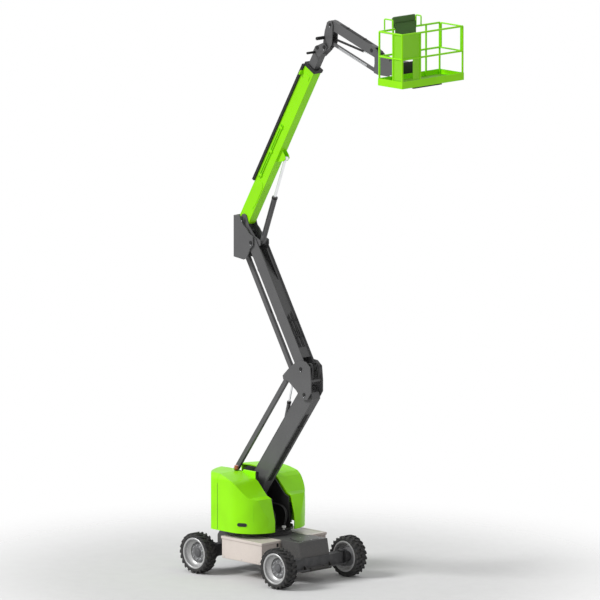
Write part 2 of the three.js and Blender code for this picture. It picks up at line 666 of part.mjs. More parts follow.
function upperArm() {
  const { length, halfWidth, height, wall, tail } = UPPER_ARM;
  const half = height / 2;
  const side = [
    [-tail, 60], [-tail, -70], [-40, -half], [length + 30, -half], [length + tail, -50], [length + tail,
      70],
    [length + 40, half], [-40, half],
  ];
  const body = join(
    cut(
      plateXZ(side, -halfWidth, halfWidth),
      block([-tail - 1, length + tail + 1], [-halfWidth + wall, halfWidth - wall], [-half - 1,
        half - wall]),
    ),
    block([300, 380], [-halfWidth + 2, halfWidth - 2], [half - 60, half - 2]),
  );
  const bores = [0, length].map((x) => roundY(TOWER_PIN + PIN_GAP, x, 0, -halfWidth - 1, halfWidth + 1));
  return turnedGroup(upperFoot.x, upperFoot.z, UPPER_ARM.angle, piece('upper_arm', cut(body, ...bores),
    darkGrey()));
}

function towerHead() {
  const at = ([x, z]) => [headPin.x + x, headPin.z + z];
  const outer = [
    [-510, 515], [-335, 525], [-300, 440], [-215, 330], [-125, 270], [-60, 190], [60, 120], [60, -60],
      [-20, -130],
    [-140, -350], [-215, -385], [-510, -355],
  ].map(at);
  const core = [
    [-100, -50], [-105, 100], [-320, 400], [-348, 480], [-320, 545], [-262, 566], [-200, 545], [-172, 480],
    [-120, 330], [60, 130], [220, 60], [225, -40], [150, -75], [40, -100], [-50, -100],
  ].map(at);
  const reach = HEAD.inner + HEAD.thickness;
  const back = block([headPin.x - 510, headPin.x - 488], [-reach, reach], [headPin.z - 150,
    headPin.z + 515]);
  const shelf = block([headPin.x - 500, headPin.x - 330], [-HEAD.inner - 2, HEAD.inner + 2],
    [headPin.z + 60, headPin.z + 80]);
  const bridge = block([headPin.x - 350, headPin.x - 180], [-HEAD.inner - 2, HEAD.inner + 2],
    [headPin.z + 200, headPin.z + 240]);
  const body = join(
    ...twinPlates(outer, HEAD.inner, HEAD.thickness),
    ...twinPlates(core, HEAD.core, HEAD.coreThickness),
    back,
    shelf,
    bridge,
    roundY(TOWER_PIN, headPin.x, headPin.z, -reach, reach),
    roundY(LINK_PIN, headLinkPin.x, headLinkPin.z, -reach, reach),
    roundY(TOWER_PIN, boomPin.x, boomPin.z, -HEAD.core - HEAD.coreThickness,
      HEAD.core + HEAD.coreThickness),
    roundY(LINK_PIN, liftBase.x, liftBase.z, -HEAD.core - 2, HEAD.core + 2),
  );
  return piece('tower_head', body, darkGrey());
}

// ---------------------------------------------------------------- hydraulic cylinders
/** Barrel and rod of a cylinder between its foot pin and the place of its rod's eye. */
function ram(name, foot, eye, y, size) {
  const span = minus(eye, foot);
  const length = Math.hypot(span.x, span.z);
  const { bore, wallRadius, rodRadius, barrelLength, eyeRadius, eyeHalf, pinRadius } = size;
  const pinReach = Math.max(eyeHalf, wallRadius) + 1;
  const footEye = cut(
    join(
      roundX(wallRadius, y, 0, eyeRadius * 0.6, barrelLength),
      roundY(eyeRadius, 0, 0, y - eyeHalf, y + eyeHalf),
    ),
    roundY(pinRadius + PIN_GAP, 0, 0, y - pinReach, y + pinReach),
    roundX(rodRadius + PIN_GAP, y, 0, barrelLength - 40, barrelLength + 1),
    roundX(bore, y, 0, eyeRadius * 1.5, barrelLength - 39),
  );
  const rodBody = cut(
    join(
      roundX(rodRadius, y, 0, length - size.rodLength, length - eyeRadius * 0.5),
      roundX(bore - PIN_GAP, y, 0, length - size.rodLength, length - size.rodLength + 30),
      roundY(eyeRadius, length, 0, y - eyeHalf, y + eyeHalf),
    ),
    roundY(pinRadius, length, 0, y - eyeHalf - 1, y + eyeHalf + 1),
  );
  return turnedGroup(
    foot.x, foot.z, headingOf(span),
    piece(`${name}_barrel`, footEye, darkGrey()),
    piece(`${name}_rod`, rodBody, chrome()),
  );
}

const RISER_RAM = {
  bore: 34, wallRadius: 42, rodRadius: 22, barrelLength: 935, rodLength: 850,
  eyeRadius: LINK_PIN + 20, eyeHalf: 38, pinRadius: LINK_PIN,
};
const LIFT_RAM = {
  bore: 48, wallRadius: 58, rodRadius: 30, barrelLength: 1060, rodLength: 1140,
  eyeRadius: LINK_PIN + 20, eyeHalf: 40, pinRadius: LINK_PIN,
};
const JIB_RAM = {
  bore: 18, wallRadius: 24, rodRadius: 13, barrelLength: 900, rodLength: 810,
  eyeRadius: JIB_PIN + 14, eyeHalf: 20, pinRadius: JIB_PIN,
};

// ---------------------------------------------------------------- telescopic boom
function mainBoom() {
  const { length, halfWidth, height, wall } = BOOM;
  const half = height / 2;
  const outer = new THREE.Shape();
  outer.moveTo(0, -half);
  outer.lineTo(length, -half);
  outer.lineTo(length, half);
  outer.lineTo(0, half);
  outer.absarc(0, 0, half, Math.PI / 2, 1.5 * Math.PI, false);
  const lug = [
    [LIFT_EYE.x - 190, -half + 5], [LIFT_EYE.x - 50, LIFT_EYE.z - 30], [LIFT_EYE.x + 30, LIFT_EYE.z - 50],
    [LIFT_EYE.x + 75, LIFT_EYE.z], [LIFT_EYE.x + 130, -half + 5],
  ];
  const body = join(
    cut(
      plateXZ(outer, -halfWidth, halfWidth),
      block([150, length + 1], [-halfWidth + wall, halfWidth - wall], [-half + wall, half - wall]),
    ),
    ...twinPlates(lug, LIFT_RAM.eyeHalf + SIDE_GAP, 16),
  );
  const bore = roundY(TOWER_PIN + PIN_GAP, 0, 0, -halfWidth - 1, halfWidth + 1);
  return piece('main_boom', cut(body, bore), lime());
}

function boomCollar() {
  const outerY = BOOM.halfWidth + 14;
  const outerZ = BOOM.height / 2 + 20;
  const start = BOOM.length + SEAT;
  const ring = block([start, start + COLLAR.length], [-outerY, outerY], [-outerZ, outerZ]);
  const way = block(
    [start - 1, start + COLLAR.length + 1],
    [-FLY.halfWidth - 0.5, FLY.halfWidth + 0.5],
    [-FLY.height / 2 - 0.5, FLY.height / 2 + 0.5],
  );
  return piece('boom_collar', cut(ring, way), black());
}

function cableTray() {
  const bottom = BOOM.height / 2 + SEAT;
  const near = -BOOM.halfWidth - TRAY.overhang;
  const body = block(
    [TRAY.start, BOOM.length - TRAY.endGap], [near, near + TRAY.width], [bottom, bottom + TRAY.height],
  );
  return piece('cable_tray', body, darkGrey());
}

function flyBoom() {
  const { tail, end, halfWidth, height, wall } = FLY;
  const head = [
    [end - 75, -height / 2], [end - 75, height / 2], [end + 60, height / 2], [JIB_PIVOT.x + 45,
      JIB_PIVOT.z + 80],
    [JIB_PIVOT.x + 75, JIB_PIVOT.z], [JIB_PIVOT.x + 40, JIB_PIVOT.z - 65], [JIB_PIVOT.x - 50,
      JIB_PIVOT.z - 60],
  ];
  const padY = BOOM.halfWidth - BOOM.wall - PIN_GAP;
  const padZ = BOOM.height / 2 - BOOM.wall - PIN_GAP;
  const pad = cut(
    block([tail, tail + 60], [-padY, padY], [-padZ, padZ]),
    block([tail - 1, tail + 61], [-halfWidth + wall, halfWidth - wall], [-height / 2 + wall,
      height / 2 - wall]),
  );
  const sleeve = cut(
    block([end - 75, end - 10], [-FLY_HEAD_INNER - 4, FLY_HEAD_INNER + 4], [-height / 2, height / 2]),
    block([end - 76, end - 9], [-halfWidth + wall, halfWidth - wall], [-height / 2 + wall,
      height / 2 - wall]),
  );
  const reach = FLY_HEAD_INNER + FLY.headThickness;
  const body = join(
    boxTube(tail, end, halfWidth, height, wall),
    pad,
    sleeve,
    ...twinPlates(head, FLY_HEAD_INNER, FLY.headThickness),
    roundY(LINK_PIN, JIB_PIVOT.x, JIB_PIVOT.z, -reach, reach),
  );
  return piece('fly_boom', body, darkGrey());
}

function telescope() {
  return turnedGroup(boomPin.x, boomPin.z, BOOM.angle, mainBoom(), boomCollar(), cableTray(), flyBoom());
}

// ---------------------------------------------------------------- jib
function jibBase() {
  const at = ([x, z]) => [jibBasePin.x + x, jibBasePin.z + z];
  const plate = [
    [-55, -30], [-60, 60], [-10, 330], [60, 520], [120, 560], [200, 550], [225, 480], [215, 300], [200, 90],
    [175, 50], [60, -50], [-10, -62],
  ].map(at);
  const reach = JIB_BASE.inner + JIB_BASE.thickness;
  const web = block(
    [jibBasePin.x + 20, jibBasePin.x + 40], [-JIB_BASE.inner - 2, JIB_BASE.inner + 2],
    [jibBasePin.z + 110, jibBasePin.z + 330],
  );
  const sleeve = roundY(LINK_PIN + 25, jibBasePin.x, jibBasePin.z, -reach, reach);
  const body = cut(
    join(
      ...twinPlates(plate, JIB_BASE.inner, JIB_BASE.thickness),
      web,
      sleeve,
      roundY(JIB_PIN + 4, jibPin.x, jibPin.z, -reach, reach),
      roundY(JIB_PIN, jibLinkPin.x, jibLinkPin.z, -reach, -4),
      roundY(JIB_PIN, jibRamFoot.x, jibRamFoot.z, -1, reach),
    ),
    roundY(LINK_PIN + PIN_GAP, jibBasePin.x, jibBasePin.z, -reach - 1, reach + 1),
  );
  return piece('jib_base', body, darkGrey());
}

function jibArm() {
  const { length, halfWidth, height, wall } = JIB;
  const half = height / 2;
  const side = [
    [-70, -20], [-60, 55], [-10, half - 10], [70, half], [length - 120, half], [length + 20, 60],
      [length + 55, 10],
    [length + 45, -40], [length - 40, -half], [120, -half], [0, -60],
  ];
  const eyeGuard = JIB_RAM.eyeRadius + 60;
  const body = cut(
    plateXZ(side, -halfWidth, halfWidth),
    block([-80, length + 80], [-halfWidth + wall, halfWidth - wall], [-half - 1, half - wall]),
  );
  const bosses = [
    roundY(JIB_PIN + 18, 0, 0, -halfWidth, halfWidth),
    roundY(JIB_PIN + 18, length, 0, -halfWidth, -wall),
    roundY(JIB_PIN + 18, length, 0, halfWidth - wall - 5, halfWidth),
  ];
  const bores = [[0, JIB_PIN + 4], [length, JIB_PIN]].map(([x, r]) => roundY(r + PIN_GAP, x, 0,
    -halfWidth - 1, halfWidth + 1));
  const endPlate = block([JIB_EYE.x - eyeGuard - 60, JIB_EYE.x - eyeGuard - 48], [-halfWidth + 2,
    halfWidth - 2], [half - 40, half - 2]);
  return turnedGroup(jibPin.x, jibPin.z, JIB.angle, piece('jib_arm', cut(join(body, ...bosses, endPlate),
    ...bores), darkGrey()));
}

function jibLink() {
  const span = minus(jibLinkEnd, jibLinkPin);
  const length = Math.hypot(span.x, span.z);
  const body = cut(
    plateXZ(barOutline(0, length, 36), -45, -7.5),
    roundY(JIB_PIN + PIN_GAP, 0, 0, -46, -6),
    roundY(JIB_PIN + PIN_GAP, length, 0, -46, -6),
  );
  return turnedGroup(jibLinkPin.x, jibLinkPin.z, headingOf(span), piece('jib_link', body, darkGrey()));
}

const supportReach = JIB_BASE.inner + JIB_BASE.thickness;

function platformSupport() {
  const at = ([x, z]) => [jibEnd.x + x, jibEnd.z + z];
  const plate = [
    [-45, 20], [-20, 50], [25, 50], [110, -20], [390, -80], [390, -430], [60, -430], [-60, -400], [-65,
      -350], [-40, -200],
  ].map(at);
  const rotatorX = jibEnd.x + ROTATOR.x;
  const z = [jibEnd.z + ROTATOR.bottom, jibEnd.z + ROTATOR.top];
  const body = cut(
    join(
      ...twinPlates(plate, JIB_BASE.inner, JIB_BASE.thickness),
      block([jibEnd.x + 370, rotatorX], [-supportReach, supportReach], z),
      roundZ(ROTATOR.radius, rotatorX, 0, z[0], z[1], 24),
      roundY(JIB_PIN, jibEnd.x, jibEnd.z, -supportReach, supportReach),
      roundY(JIB_PIN, jibLinkEnd.x, jibLinkEnd.z, -supportReach, -4),
    ),
    roundZ(40 + PIN_GAP, rotatorX, 0, z[0] - 1, z[1] + 1, 24),
  );
  return piece('platform_support', body, darkGrey());
}

function platformMount() {
  const x = jibEnd.x + ROTATOR.x;
  const z0 = jibEnd.z + ROTATOR.bottom;
  const z1 = jibEnd.z + ROTATOR.top;
  const floor = jibEnd.z + BASKET.floor;
  const back = jibEnd.x + BASKET.back;
  const faceX = [back - 60, back - 30];
  const beamTop = floor - 50 - SEAT;
  const body = join(
    roundZ(40, x, 0, z0 - 30, z1 + 30, 24),
    roundZ(75, x, 0, z1 + SIDE_GAP, z1 + 30, 24),
    roundZ(75, x, 0, z0 - 30, z0 - SIDE_GAP, 24),
    block([x, faceX[1]], [-75, 75], [z1 + SIDE_GAP, z1 + 30]),
    block([x, faceX[1]], [-75, 75], [z0 - 30, z0 - SIDE_GAP]),
    block(faceX, [-200, 200], [beamTop - 60, z1 + 30]),
    block([faceX[0], back + 560], [-130, -70], [beamTop - 60, beamTop]),
    block([faceX[0], back + 560], [70, 130], [beamTop - 60, beamTop]),
    block([back + 500, back + 560], [-400, 400], [beamTop - 60, beamTop]),
  );
  return piece('platform_mount', body, castGrey());
}

// ---------------------------------------------------------------- basket
function basketFrame() {
  const x0 = jibEnd.x + BASKET.back;
  const x1 = jibEnd.x + BASKET.front;
  const y1 = BASKET.halfLength;
  const floor = jibEnd.z + BASKET.floor;
  const bottom = floor - 50;
  const toeTop = bottom + BASKET.toe;
  const railZ = jibEnd.z + BASKET.rail - BASKET.tube;
  const midZ = (railZ + floor) / 2 + 20;
  const r = BASKET.tube;
  const inset = r;
  const corners = [[x0 + inset, -y1 + inset], [x1 - inset, -y1 + inset], [x1 - inset, y1 - inset],
    [x0 + inset, y1 - inset]];
  const toeWall = 6;
  const toeRing = cut(
    block([x0, x1], [-y1, y1], [bottom, toeTop]),
    block([x0 + toeWall, x1 - toeWall], [-y1 + toeWall, y1 - toeWall], [bottom - 1, toeTop + 1]),
  );
  const ledge = cut(
    block([x0, x1], [-y1, y1], [bottom, floor - 4]),
    block([x0 + 30, x1 - 30], [-y1 + 30, y1 - 30], [bottom - 1, floor]),
  );
  const posts = corners.map(([x, y]) => roundZ(r, x, y, bottom, railZ, 8));
  const frontPost = roundZ(r, x1 - inset, -y1 + 530, bottom, railZ, 8);
  const sidePost = roundZ(r, x0 + 430, -y1 + inset, bottom, railZ, 8);
  const backPosts = [-470, 470].map((y) => roundZ(r, x0 + inset, y, bottom, railZ, 8));
  const rails = [railZ, midZ].flatMap((z) => [
    roundY(r, x0 + inset, z, -y1 + inset, y1 - inset, 8),
    roundY(r, x1 - inset, z, -y1 + inset, y1 - inset, 8),
    roundX(r, -y1 + inset, z, x0 + inset, x1 - inset, 8),
  ]);
  return piece('basket_frame', join(toeRing, ledge, ...posts, frontPost, sidePost, ...backPosts,
    ...rails), lime());
}

function basketFloor() {
  const x0 = jibEnd.x + BASKET.back + 6 + SEAT;
  const x1 = jibEnd.x + BASKET.front - 6 - SEAT;
  const y1 = BASKET.halfLength - 6 - SEAT;
  const floor = jibEnd.z + BASKET.floor;
  const reach = 2 * BASKET.tube + SEAT;
  const notchReach = [-1, 1].flatMap((side) => [
    block([x0 - 1, x0 + reach], side > 0 ? [y1 - reach, y1 + 1] : [-y1 - 1, -y1 + reach], [floor - 5,
      floor + 9]),
    block([x1 - reach, x1 + 1], side > 0 ? [y1 - reach, y1 + 1] : [-y1 - 1, -y1 + reach], [floor - 5,
      floor + 9]),
  ]);
  const postNotches = [
    block([x1 - reach, x1 + 1], [-BASKET.halfLength + 530 - 26, -BASKET.halfLength + 530 + 26],
      [floor - 5, floor + 9]),
    block([jibEnd.x + BASKET.back + 404, jibEnd.x + BASKET.back + 456], [-y1 - 1, -y1 + reach],
      [floor - 5, floor + 9]),
    ...[-470, 470].map((y) => block([x0 - 1, x0 + reach], [y - 26, y + 26], [floor - 5, floor + 9])),
  ];
  const sheet = block([x0, x1], [-y1, y1], [floor - 4 + SEAT, floor + 4]);
  return piece('basket_floor', cut(sheet, ...notchReach, ...postNotches), castGrey());
}

function basketGate() {
  const x0 = jibEnd.x + BASKET.back;
  const x1 = jibEnd.x + BASKET.front;
  const y = BASKET.halfLength - BASKET.tube;
  const r = 17;
  const floor = jibEnd.z + BASKET.floor;
  const railZ = jibEnd.z + BASKET.rail - BASKET.tube;
  const midZ = (railZ + floor) / 2 + 20;
  const post = 2 * BASKET.tube;
  const hingeX = x0 + post + 24;
  const latchX = x1 - post - GATE.swingGap - r;
  const hingeReach = x0 + post + 0.8;
  const frame = join(
    roundZ(r, hingeX, y, midZ, railZ, 8),
    roundZ(r, latchX, y, midZ, railZ, 8),
    roundX(r, y, railZ, hingeX, latchX, 8),
    roundX(r, y, midZ, hingeX, latchX, 8),
    ...[midZ + 60, railZ - 60].map((z) => roundX(5, y, z, hingeReach, hingeX, 8)),
  );
  return piece('basket_gate', frame, lime());
}

function basketPanels() {
  const group = new THREE.Group();
  const x1 = jibEnd.x + BASKET.front - BASKET.tube;
  const y0 = -BASKET.halfLength + 2 * BASKET.tube + SEAT;
  const y1 = -BASKET.halfLength + 530 - BASKET.tube - SEAT;
  const railZ = jibEnd.z + BASKET.rail - BASKET.tube;
  const midZ = (railZ + jibEnd.z + BASKET.floor) / 2 + 20;
  const z = [midZ + BASKET.tube + SEAT, railZ - BASKET.tube - SEAT];
  group.add(piece('basket_panel_front', block([x1 - 2, x1 + 2], [y0, y1], z), lime()));
  const sideX = [jibEnd.x + BASKET.back + 430 + BASKET.tube + SEAT,
    jibEnd.x + BASKET.front - 2 * BASKET.tube - SEAT];
  const sideY = -BASKET.halfLength + BASKET.tube;
  group.add(piece('basket_panel_side', block(sideX, [sideY - 2, sideY + 2], z), lime()));
  return group;
}

function controlConsole() {
  const x = jibEnd.x + BASKET.back;
  const railTop = jibEnd.z + BASKET.rail;
  const profile = [
    [x - 62, railTop + SEAT], [x - 62, railTop + 190], [x - 20, railTop + 230], [x + 14, railTop + 225],
    [x + 14, railTop + 40], [x + 34, railTop + 30], [x + 34, railTop + SEAT],
  ];
  return piece('control_console', plateXZ(profile, -430, 170), deepGreen());
}

// ---------------------------------------------------------------- the whole machine
function machine() {
  const group = new THREE.Group();
  group.add(chassisFrame(), frontAxle(), rearAxle(), slewBearing(), steeringCylinder(), steeringRod());
  for (const [label, side] of [['left', 1], ['right', -1]]) {
    group.add(batteryBox(label, side), knuckle(label, side), covers(label, side));
    group.add(wheel(`front_${label}`, WHEEL.base / 2, side), wheel(`rear_${label}`, -WHEEL.base / 2, side));
  }
  group.add(turntableFrame(), counterweight(), powerUnits());
  group.add(
    lowerArm(),
    linkBar('lower_link', lowerLinkFoot, sharedLinkPin, -LINK.outer, -LINK.inner),
    midBracket(),
    upperArm(),
    linkBar('upper_link', sharedLinkPin, headLinkPin, LINK.inner, LINK.outer),
    towerHead(),
    ram('riser_cylinder', riserBase, riserEye, 0, RISER_RAM),
    ram('lift_cylinder', liftBase, liftEye, 0, LIFT_RAM),
    telescope(),
  );
  group.add(jibBase(), jibArm(), jibLink(), ram('jib_cylinder', jibRamFoot, jibEye, 22, JIB_RAM));
  group.add(platformSupport(), platformMount(), basketFrame(), basketFloor(), basketGate(),
    basketPanels(), controlConsole());
  return group;
}

/** Stands the machine with its bounding box centred on the origin in plan. */
function centred(model) {
  model.updateMatrixWorld(true);
  const bounds = new THREE.Box3().setFromObject(model, true);
  const root = new THREE.Group();
  model.position.set(-(bounds.min.x + bounds.max.x) / 2, -(bounds.min.y + bounds.max.y) / 2, -bounds.min.z);
  root.add(model);
  return root;
}

export default centred(machine());
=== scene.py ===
"""Looks of an articulating boom lift: shapes, finishes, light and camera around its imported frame."""
import json
import logging
import math
from dataclasses import dataclass, field
from enum import Enum
from typing import Callable, Iterable, Sequence, Union

import bpy
from mathutils import Matrix, Vector

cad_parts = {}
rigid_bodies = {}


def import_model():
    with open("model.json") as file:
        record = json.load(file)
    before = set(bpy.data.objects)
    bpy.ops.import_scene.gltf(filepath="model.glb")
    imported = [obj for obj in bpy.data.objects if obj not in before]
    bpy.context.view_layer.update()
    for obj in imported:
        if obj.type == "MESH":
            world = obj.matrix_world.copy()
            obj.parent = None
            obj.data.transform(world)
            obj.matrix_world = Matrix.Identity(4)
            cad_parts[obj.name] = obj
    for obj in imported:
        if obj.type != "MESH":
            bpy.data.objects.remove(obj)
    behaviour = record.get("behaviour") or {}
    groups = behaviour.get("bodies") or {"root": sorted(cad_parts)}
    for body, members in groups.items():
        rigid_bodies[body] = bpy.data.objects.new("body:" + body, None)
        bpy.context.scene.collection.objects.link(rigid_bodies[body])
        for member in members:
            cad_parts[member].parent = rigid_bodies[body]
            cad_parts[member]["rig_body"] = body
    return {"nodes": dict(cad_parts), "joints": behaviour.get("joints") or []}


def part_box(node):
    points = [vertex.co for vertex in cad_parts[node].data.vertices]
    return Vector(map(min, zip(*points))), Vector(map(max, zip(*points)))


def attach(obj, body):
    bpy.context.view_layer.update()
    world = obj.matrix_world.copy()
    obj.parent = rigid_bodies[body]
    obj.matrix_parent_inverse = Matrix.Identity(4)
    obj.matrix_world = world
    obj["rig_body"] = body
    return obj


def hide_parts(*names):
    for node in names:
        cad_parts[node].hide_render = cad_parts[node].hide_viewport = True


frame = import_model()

LOG = logging.getLogger("boom_lift")
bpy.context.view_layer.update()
PINS = {j["name"]: Vector(j["pos_m"]) for j in frame["joints"] if "pos_m" in j}
AXES = {j["name"]: Vector(j["axis"]) for j in frame["joints"]}
Number = Union[float, "Signal"]
Colour = tuple[float, float, float]
Piece = bpy.types.Object


class Slot(Enum):
    """Material slots of the record."""

    LIME = "lime_paint"
    GREY = "dark_grey_paint"
    BLACK = "black_paint"
    CAST = "cast_grey"
    WHITE = "box_white"
    CONSOLE = "console_green"
    TYRE = "tyre_rubber"
    RIM = "rim_silver"
    CHROME = "rod_chrome"
    COVER = "cover_lime"
    FLOOR = "floor_plate"


# ------------------------------------------------------------------ shader nodes
@dataclass
class Signal:
    """A number that runs through a material's nodes and takes Python arithmetic."""

    graph: "Graph"
    socket: bpy.types.NodeSocket

    def maths(self, operation: str, *inputs: Number) -> "Signal":
        """Adds one Math node.

        Args:
            operation: The node's operation.
            inputs: Its inputs, in order.

        Returns:
            The node's result.
        """
        made = self.graph.node("ShaderNodeMath", {"operation": operation}, dict(enumerate(inputs)))
        return Signal(self.graph, made.outputs[0])

    def __add__(self, other: Number) -> "Signal":
        """Sum."""
        return self.maths("ADD", self, other)

    def __sub__(self, other: Number) -> "Signal":
        """Difference."""
        return self.maths("SUBTRACT", self, other)

    def __rsub__(self, other: Number) -> "Signal":
        """Reflected difference."""
        return self.maths("SUBTRACT", other, self)

    def __mul__(self, other: Number) -> "Signal":
        """Product."""
        return self.maths("MULTIPLY", self, other)

    __radd__ = __add__
    __rmul__ = __mul__

    def sine(self) -> "Signal":
        """Sine of the number, in radians."""
        return self.maths("SINE", self)

    def band(self, low: float, high: float) -> "Signal":
        """Rises smoothly from 0 at low to 1 at high.

        Args:
            low: Where the result is 0.
            high: Where the result is 1.

        Returns:
            The clamped rise.
        """
        made = self.graph.node(
            "ShaderNodeMapRange", {"interpolation_type": "SMOOTHSTEP"},
            {"Value": self, "From Min": low, "From Max": high}
        )
        return Signal(self.graph, made.outputs["Result"])


class Graph:
    """The node tree of one material."""

    def __init__(self, name: str) -> None:
        """Starts an empty material.

        Args:
            name: The material's name.
        """
        self.material = bpy.data.materials.new(name)
        self.material.use_nodes = True
        self.tree = self.material.node_tree
        self.tree.nodes.clear()
        self.place = self.node("ShaderNodeTexCoord").outputs["Object"]

    def node(self, kind: str, settings: dict | None = None, inputs: dict | None = None) -> bpy.types.Node:
        """Adds any node.

        Args:
            kind: The node's type.
            settings: Its properties, set first.
            inputs: Values, sockets or signals by socket name or number.

        Returns:
            The new node.
        """
        made = self.tree.nodes.new(kind)
        for key, value in (settings or {}).items():
            setattr(made, key, value)
        for key, value in (inputs or {}).items():
            self.feed(made.inputs[key], value)
        return made

    def feed(self, socket: bpy.types.NodeSocket, value: object) -> None:
        """Links or sets one input.

        Args:
            socket: The input.
            value: A signal, an output socket, a number or a tuple.
        """
        if isinstance(value, Signal):
            value = value.socket
        if isinstance(value, bpy.types.NodeSocket):
            self.tree.links.new(value, socket)
        elif isinstance(value, tuple) and len(value) == 3 and len(socket.default_value) == 4:
            socket.default_value = (*value, 1.0)
        else:
            socket.default_value = value

    def noise(self, scale: float, detail: float = 2.0, stretch: Colour = (1.0, 1.0, 1.0)) -> Signal:
        """Cloudy noise over the piece.

        Args:
            scale: Its fineness, per metre.
            detail: Its octaves.
            stretch: Scale of each axis.

        Returns:
            A number around 0.5.
        """
        place = self.node("ShaderNodeMapping", None, {"Vector": self.place, "Scale": stretch}).outputs[0]
        made = self.node("ShaderNodeTexNoise", None, {"Vector": place, "Scale": scale, "Detail": detail})
        return Signal(self, made.outputs["Fac"])

    def axes(self) -> tuple[Signal, Signal, Signal]:
        """The piece's X, Y and Z, in metres."""
        split = self.node("ShaderNodeSeparateXYZ", None, {0: self.place})
        return tuple(Signal(self, out) for out in split.outputs)

    def mix(self, factor: Number, first: object, second: object) -> bpy.types.NodeSocket:
        """Mixes two colours.

        Args:
            factor: Share of the second.
            first: A colour or a colour socket.
            second: A colour or a colour socket.

        Returns:
            The mixed colour's socket.
        """
        made = self.node("ShaderNodeMix", {"data_type": "RGBA"})
        for identifier, value in (("Factor_Float", factor), ("A_Color", first), ("B_Color", second)):
            self.feed(next(s for s in made.inputs if s.identifier == identifier), value)
        return next(s for s in made.outputs if s.identifier == "Result_Color")

    def bump(self, height: Signal, distance: float, strength: float = 1.0) -> bpy.types.NodeSocket:
        """A surface relief.

        Args:
            height: The relief, from 0 to 1.
            distance: Its depth in metres.
            strength: How much of it shows.

        Returns:
            The new normal's socket.
        """
        made = self.node(
            "ShaderNodeBump", None, {"Height": height, "Distance": distance, "Strength": strength}
        )
        return made.outputs["Normal"]

    def close(self, **sockets: object) -> bpy.types.Material:
        """Adds the surface shader and the output.

        Args:
            sockets: The shader's inputs, with underscores for spaces.

        Returns:
            The finished material.
        """
        shader = self.node(
            "ShaderNodeBsdfPrincipled", None,
            {key.replace("_", " "): value for key, value in sockets.items()}
        )
        self.node("ShaderNodeOutputMaterial", None, {"Surface": shader.outputs[0]})
        return self.material


# ------------------------------------------------------------------ finishes
@dataclass(frozen=True)
class Finish:
    """A surface finish; build() makes its material once."""

    name: str
    colour: Colour
    roughness: float
    slot: Slot | None = None

    def shade(self, share: float) -> Colour:
        """The finish's colour, darker or lighter.

        Args:
            share: What each channel is multiplied by.

        Returns:
            The new colour.
        """
        return tuple(share * c for c in self.colour)

    def build(self) -> bpy.types.Material:
        """The finish's material, made at first use."""
        return bpy.data.materials.get(self.name + "_look") or self.dress(Graph(self.name + "_look"))

    def dress(self, graph: Graph) -> bpy.types.Material:
        """Fills the material's nodes.

        Args:
            graph: The empty material.

        Returns:
            The finished material.
        """
        tone = graph.noise(6.0, 3.0)
        return graph.close(
            Base_Color=graph.mix(tone.band(0.3, 0.75), self.colour, self.shade(0.82)),
            Roughness=self.roughness + (tone - 0.5) * 0.12,
            Normal=graph.bump(graph.noise(260.0), 0.0004, 0.5),
        )


@dataclass(frozen=True)
class Paint(Finish):
    """Sprayed paint: faint orange peel, soft clouding, rain streaks and dust that gathers low down."""

    gloss: float = 0.3
    dust: float = 0.35
    metallic: float = 0.0
    dust_colour: Colour = (0.36, 0.33, 0.28)

    def dress(self, graph: Graph) -> bpy.types.Material:
        """Fills the material's nodes.

        Args:
            graph: The empty material.

        Returns:
            The finished material.
        """
        _, _, height = graph.axes()
        cloud = graph.noise(1.7, 4.0)
        streak = graph.noise(9.0, 3.0, (1.0, 1.0, 0.12)).band(0.55, 0.8)
        speck = graph.noise(55.0, 4.0).band(0.5, 0.72)
        low = 1.0 - height.band(0.1, 1.5)
        dusty = (low * 0.75 + 0.08) * (0.35 + 0.65 * speck) * self.dust
        tone = graph.mix(cloud.band(0.3, 0.7), self.colour, self.shade(0.9))
        tone = graph.mix(streak * 0.10, tone, self.shade(0.7))
        return graph.close(
            Base_Color=graph.mix(dusty, tone, self.dust_colour),
            Roughness=self.roughness + 0.08 * (cloud - 0.5) + 0.3 * dusty,
            Metallic=self.metallic,
            Coat_Weight=self.gloss * (1.0 - dusty),
            Coat_Roughness=0.12,
            Specular_IOR_Level=0.2,
            Normal=graph.bump(graph.noise(190.0, 1.0), 0.0003, 0.35),
        )


@dataclass(frozen=True)
class Casting(Finish):
    """Painted cast iron with a sandy skin."""

    def dress(self, graph: Graph) -> bpy.types.Material:
        """Fills the material's nodes.

        Args:
            graph: The empty material.

        Returns:
            The finished material.
        """
        sand = graph.noise(330.0, 3.0)
        patch = graph.noise(7.0, 4.0).band(0.42, 0.7)
        return graph.close(
            Base_Color=graph.mix(patch * 0.5, self.colour, tuple(1.7 * c + 0.01 for c in self.colour)),
            Roughness=self.roughness + 0.15 * (sand - 0.5),
            Normal=graph.bump(sand, 0.0011, 0.5),
        )


@dataclass(frozen=True)
class Rubber(Finish):
    """Black rubber with a dusty bloom and fine moulded grain."""

    bloom: float = 0.4

    def dress(self, graph: Graph) -> bpy.types.Material:
        """Fills the material's nodes.

        Args:
            graph: The empty material.

        Returns:
            The finished material.
        """
        grain = graph.noise(420.0, 2.0)
        bloom = graph.noise(14.0, 5.0).band(0.4, 0.75) * self.bloom
        return graph.close(
            Base_Color=graph.mix(bloom, self.colour, (0.075, 0.07, 0.062)),
            Roughness=self.roughness + 0.1 * (grain - 0.5),
            Normal=graph.bump(grain, 0.0005, 0.5),
        )


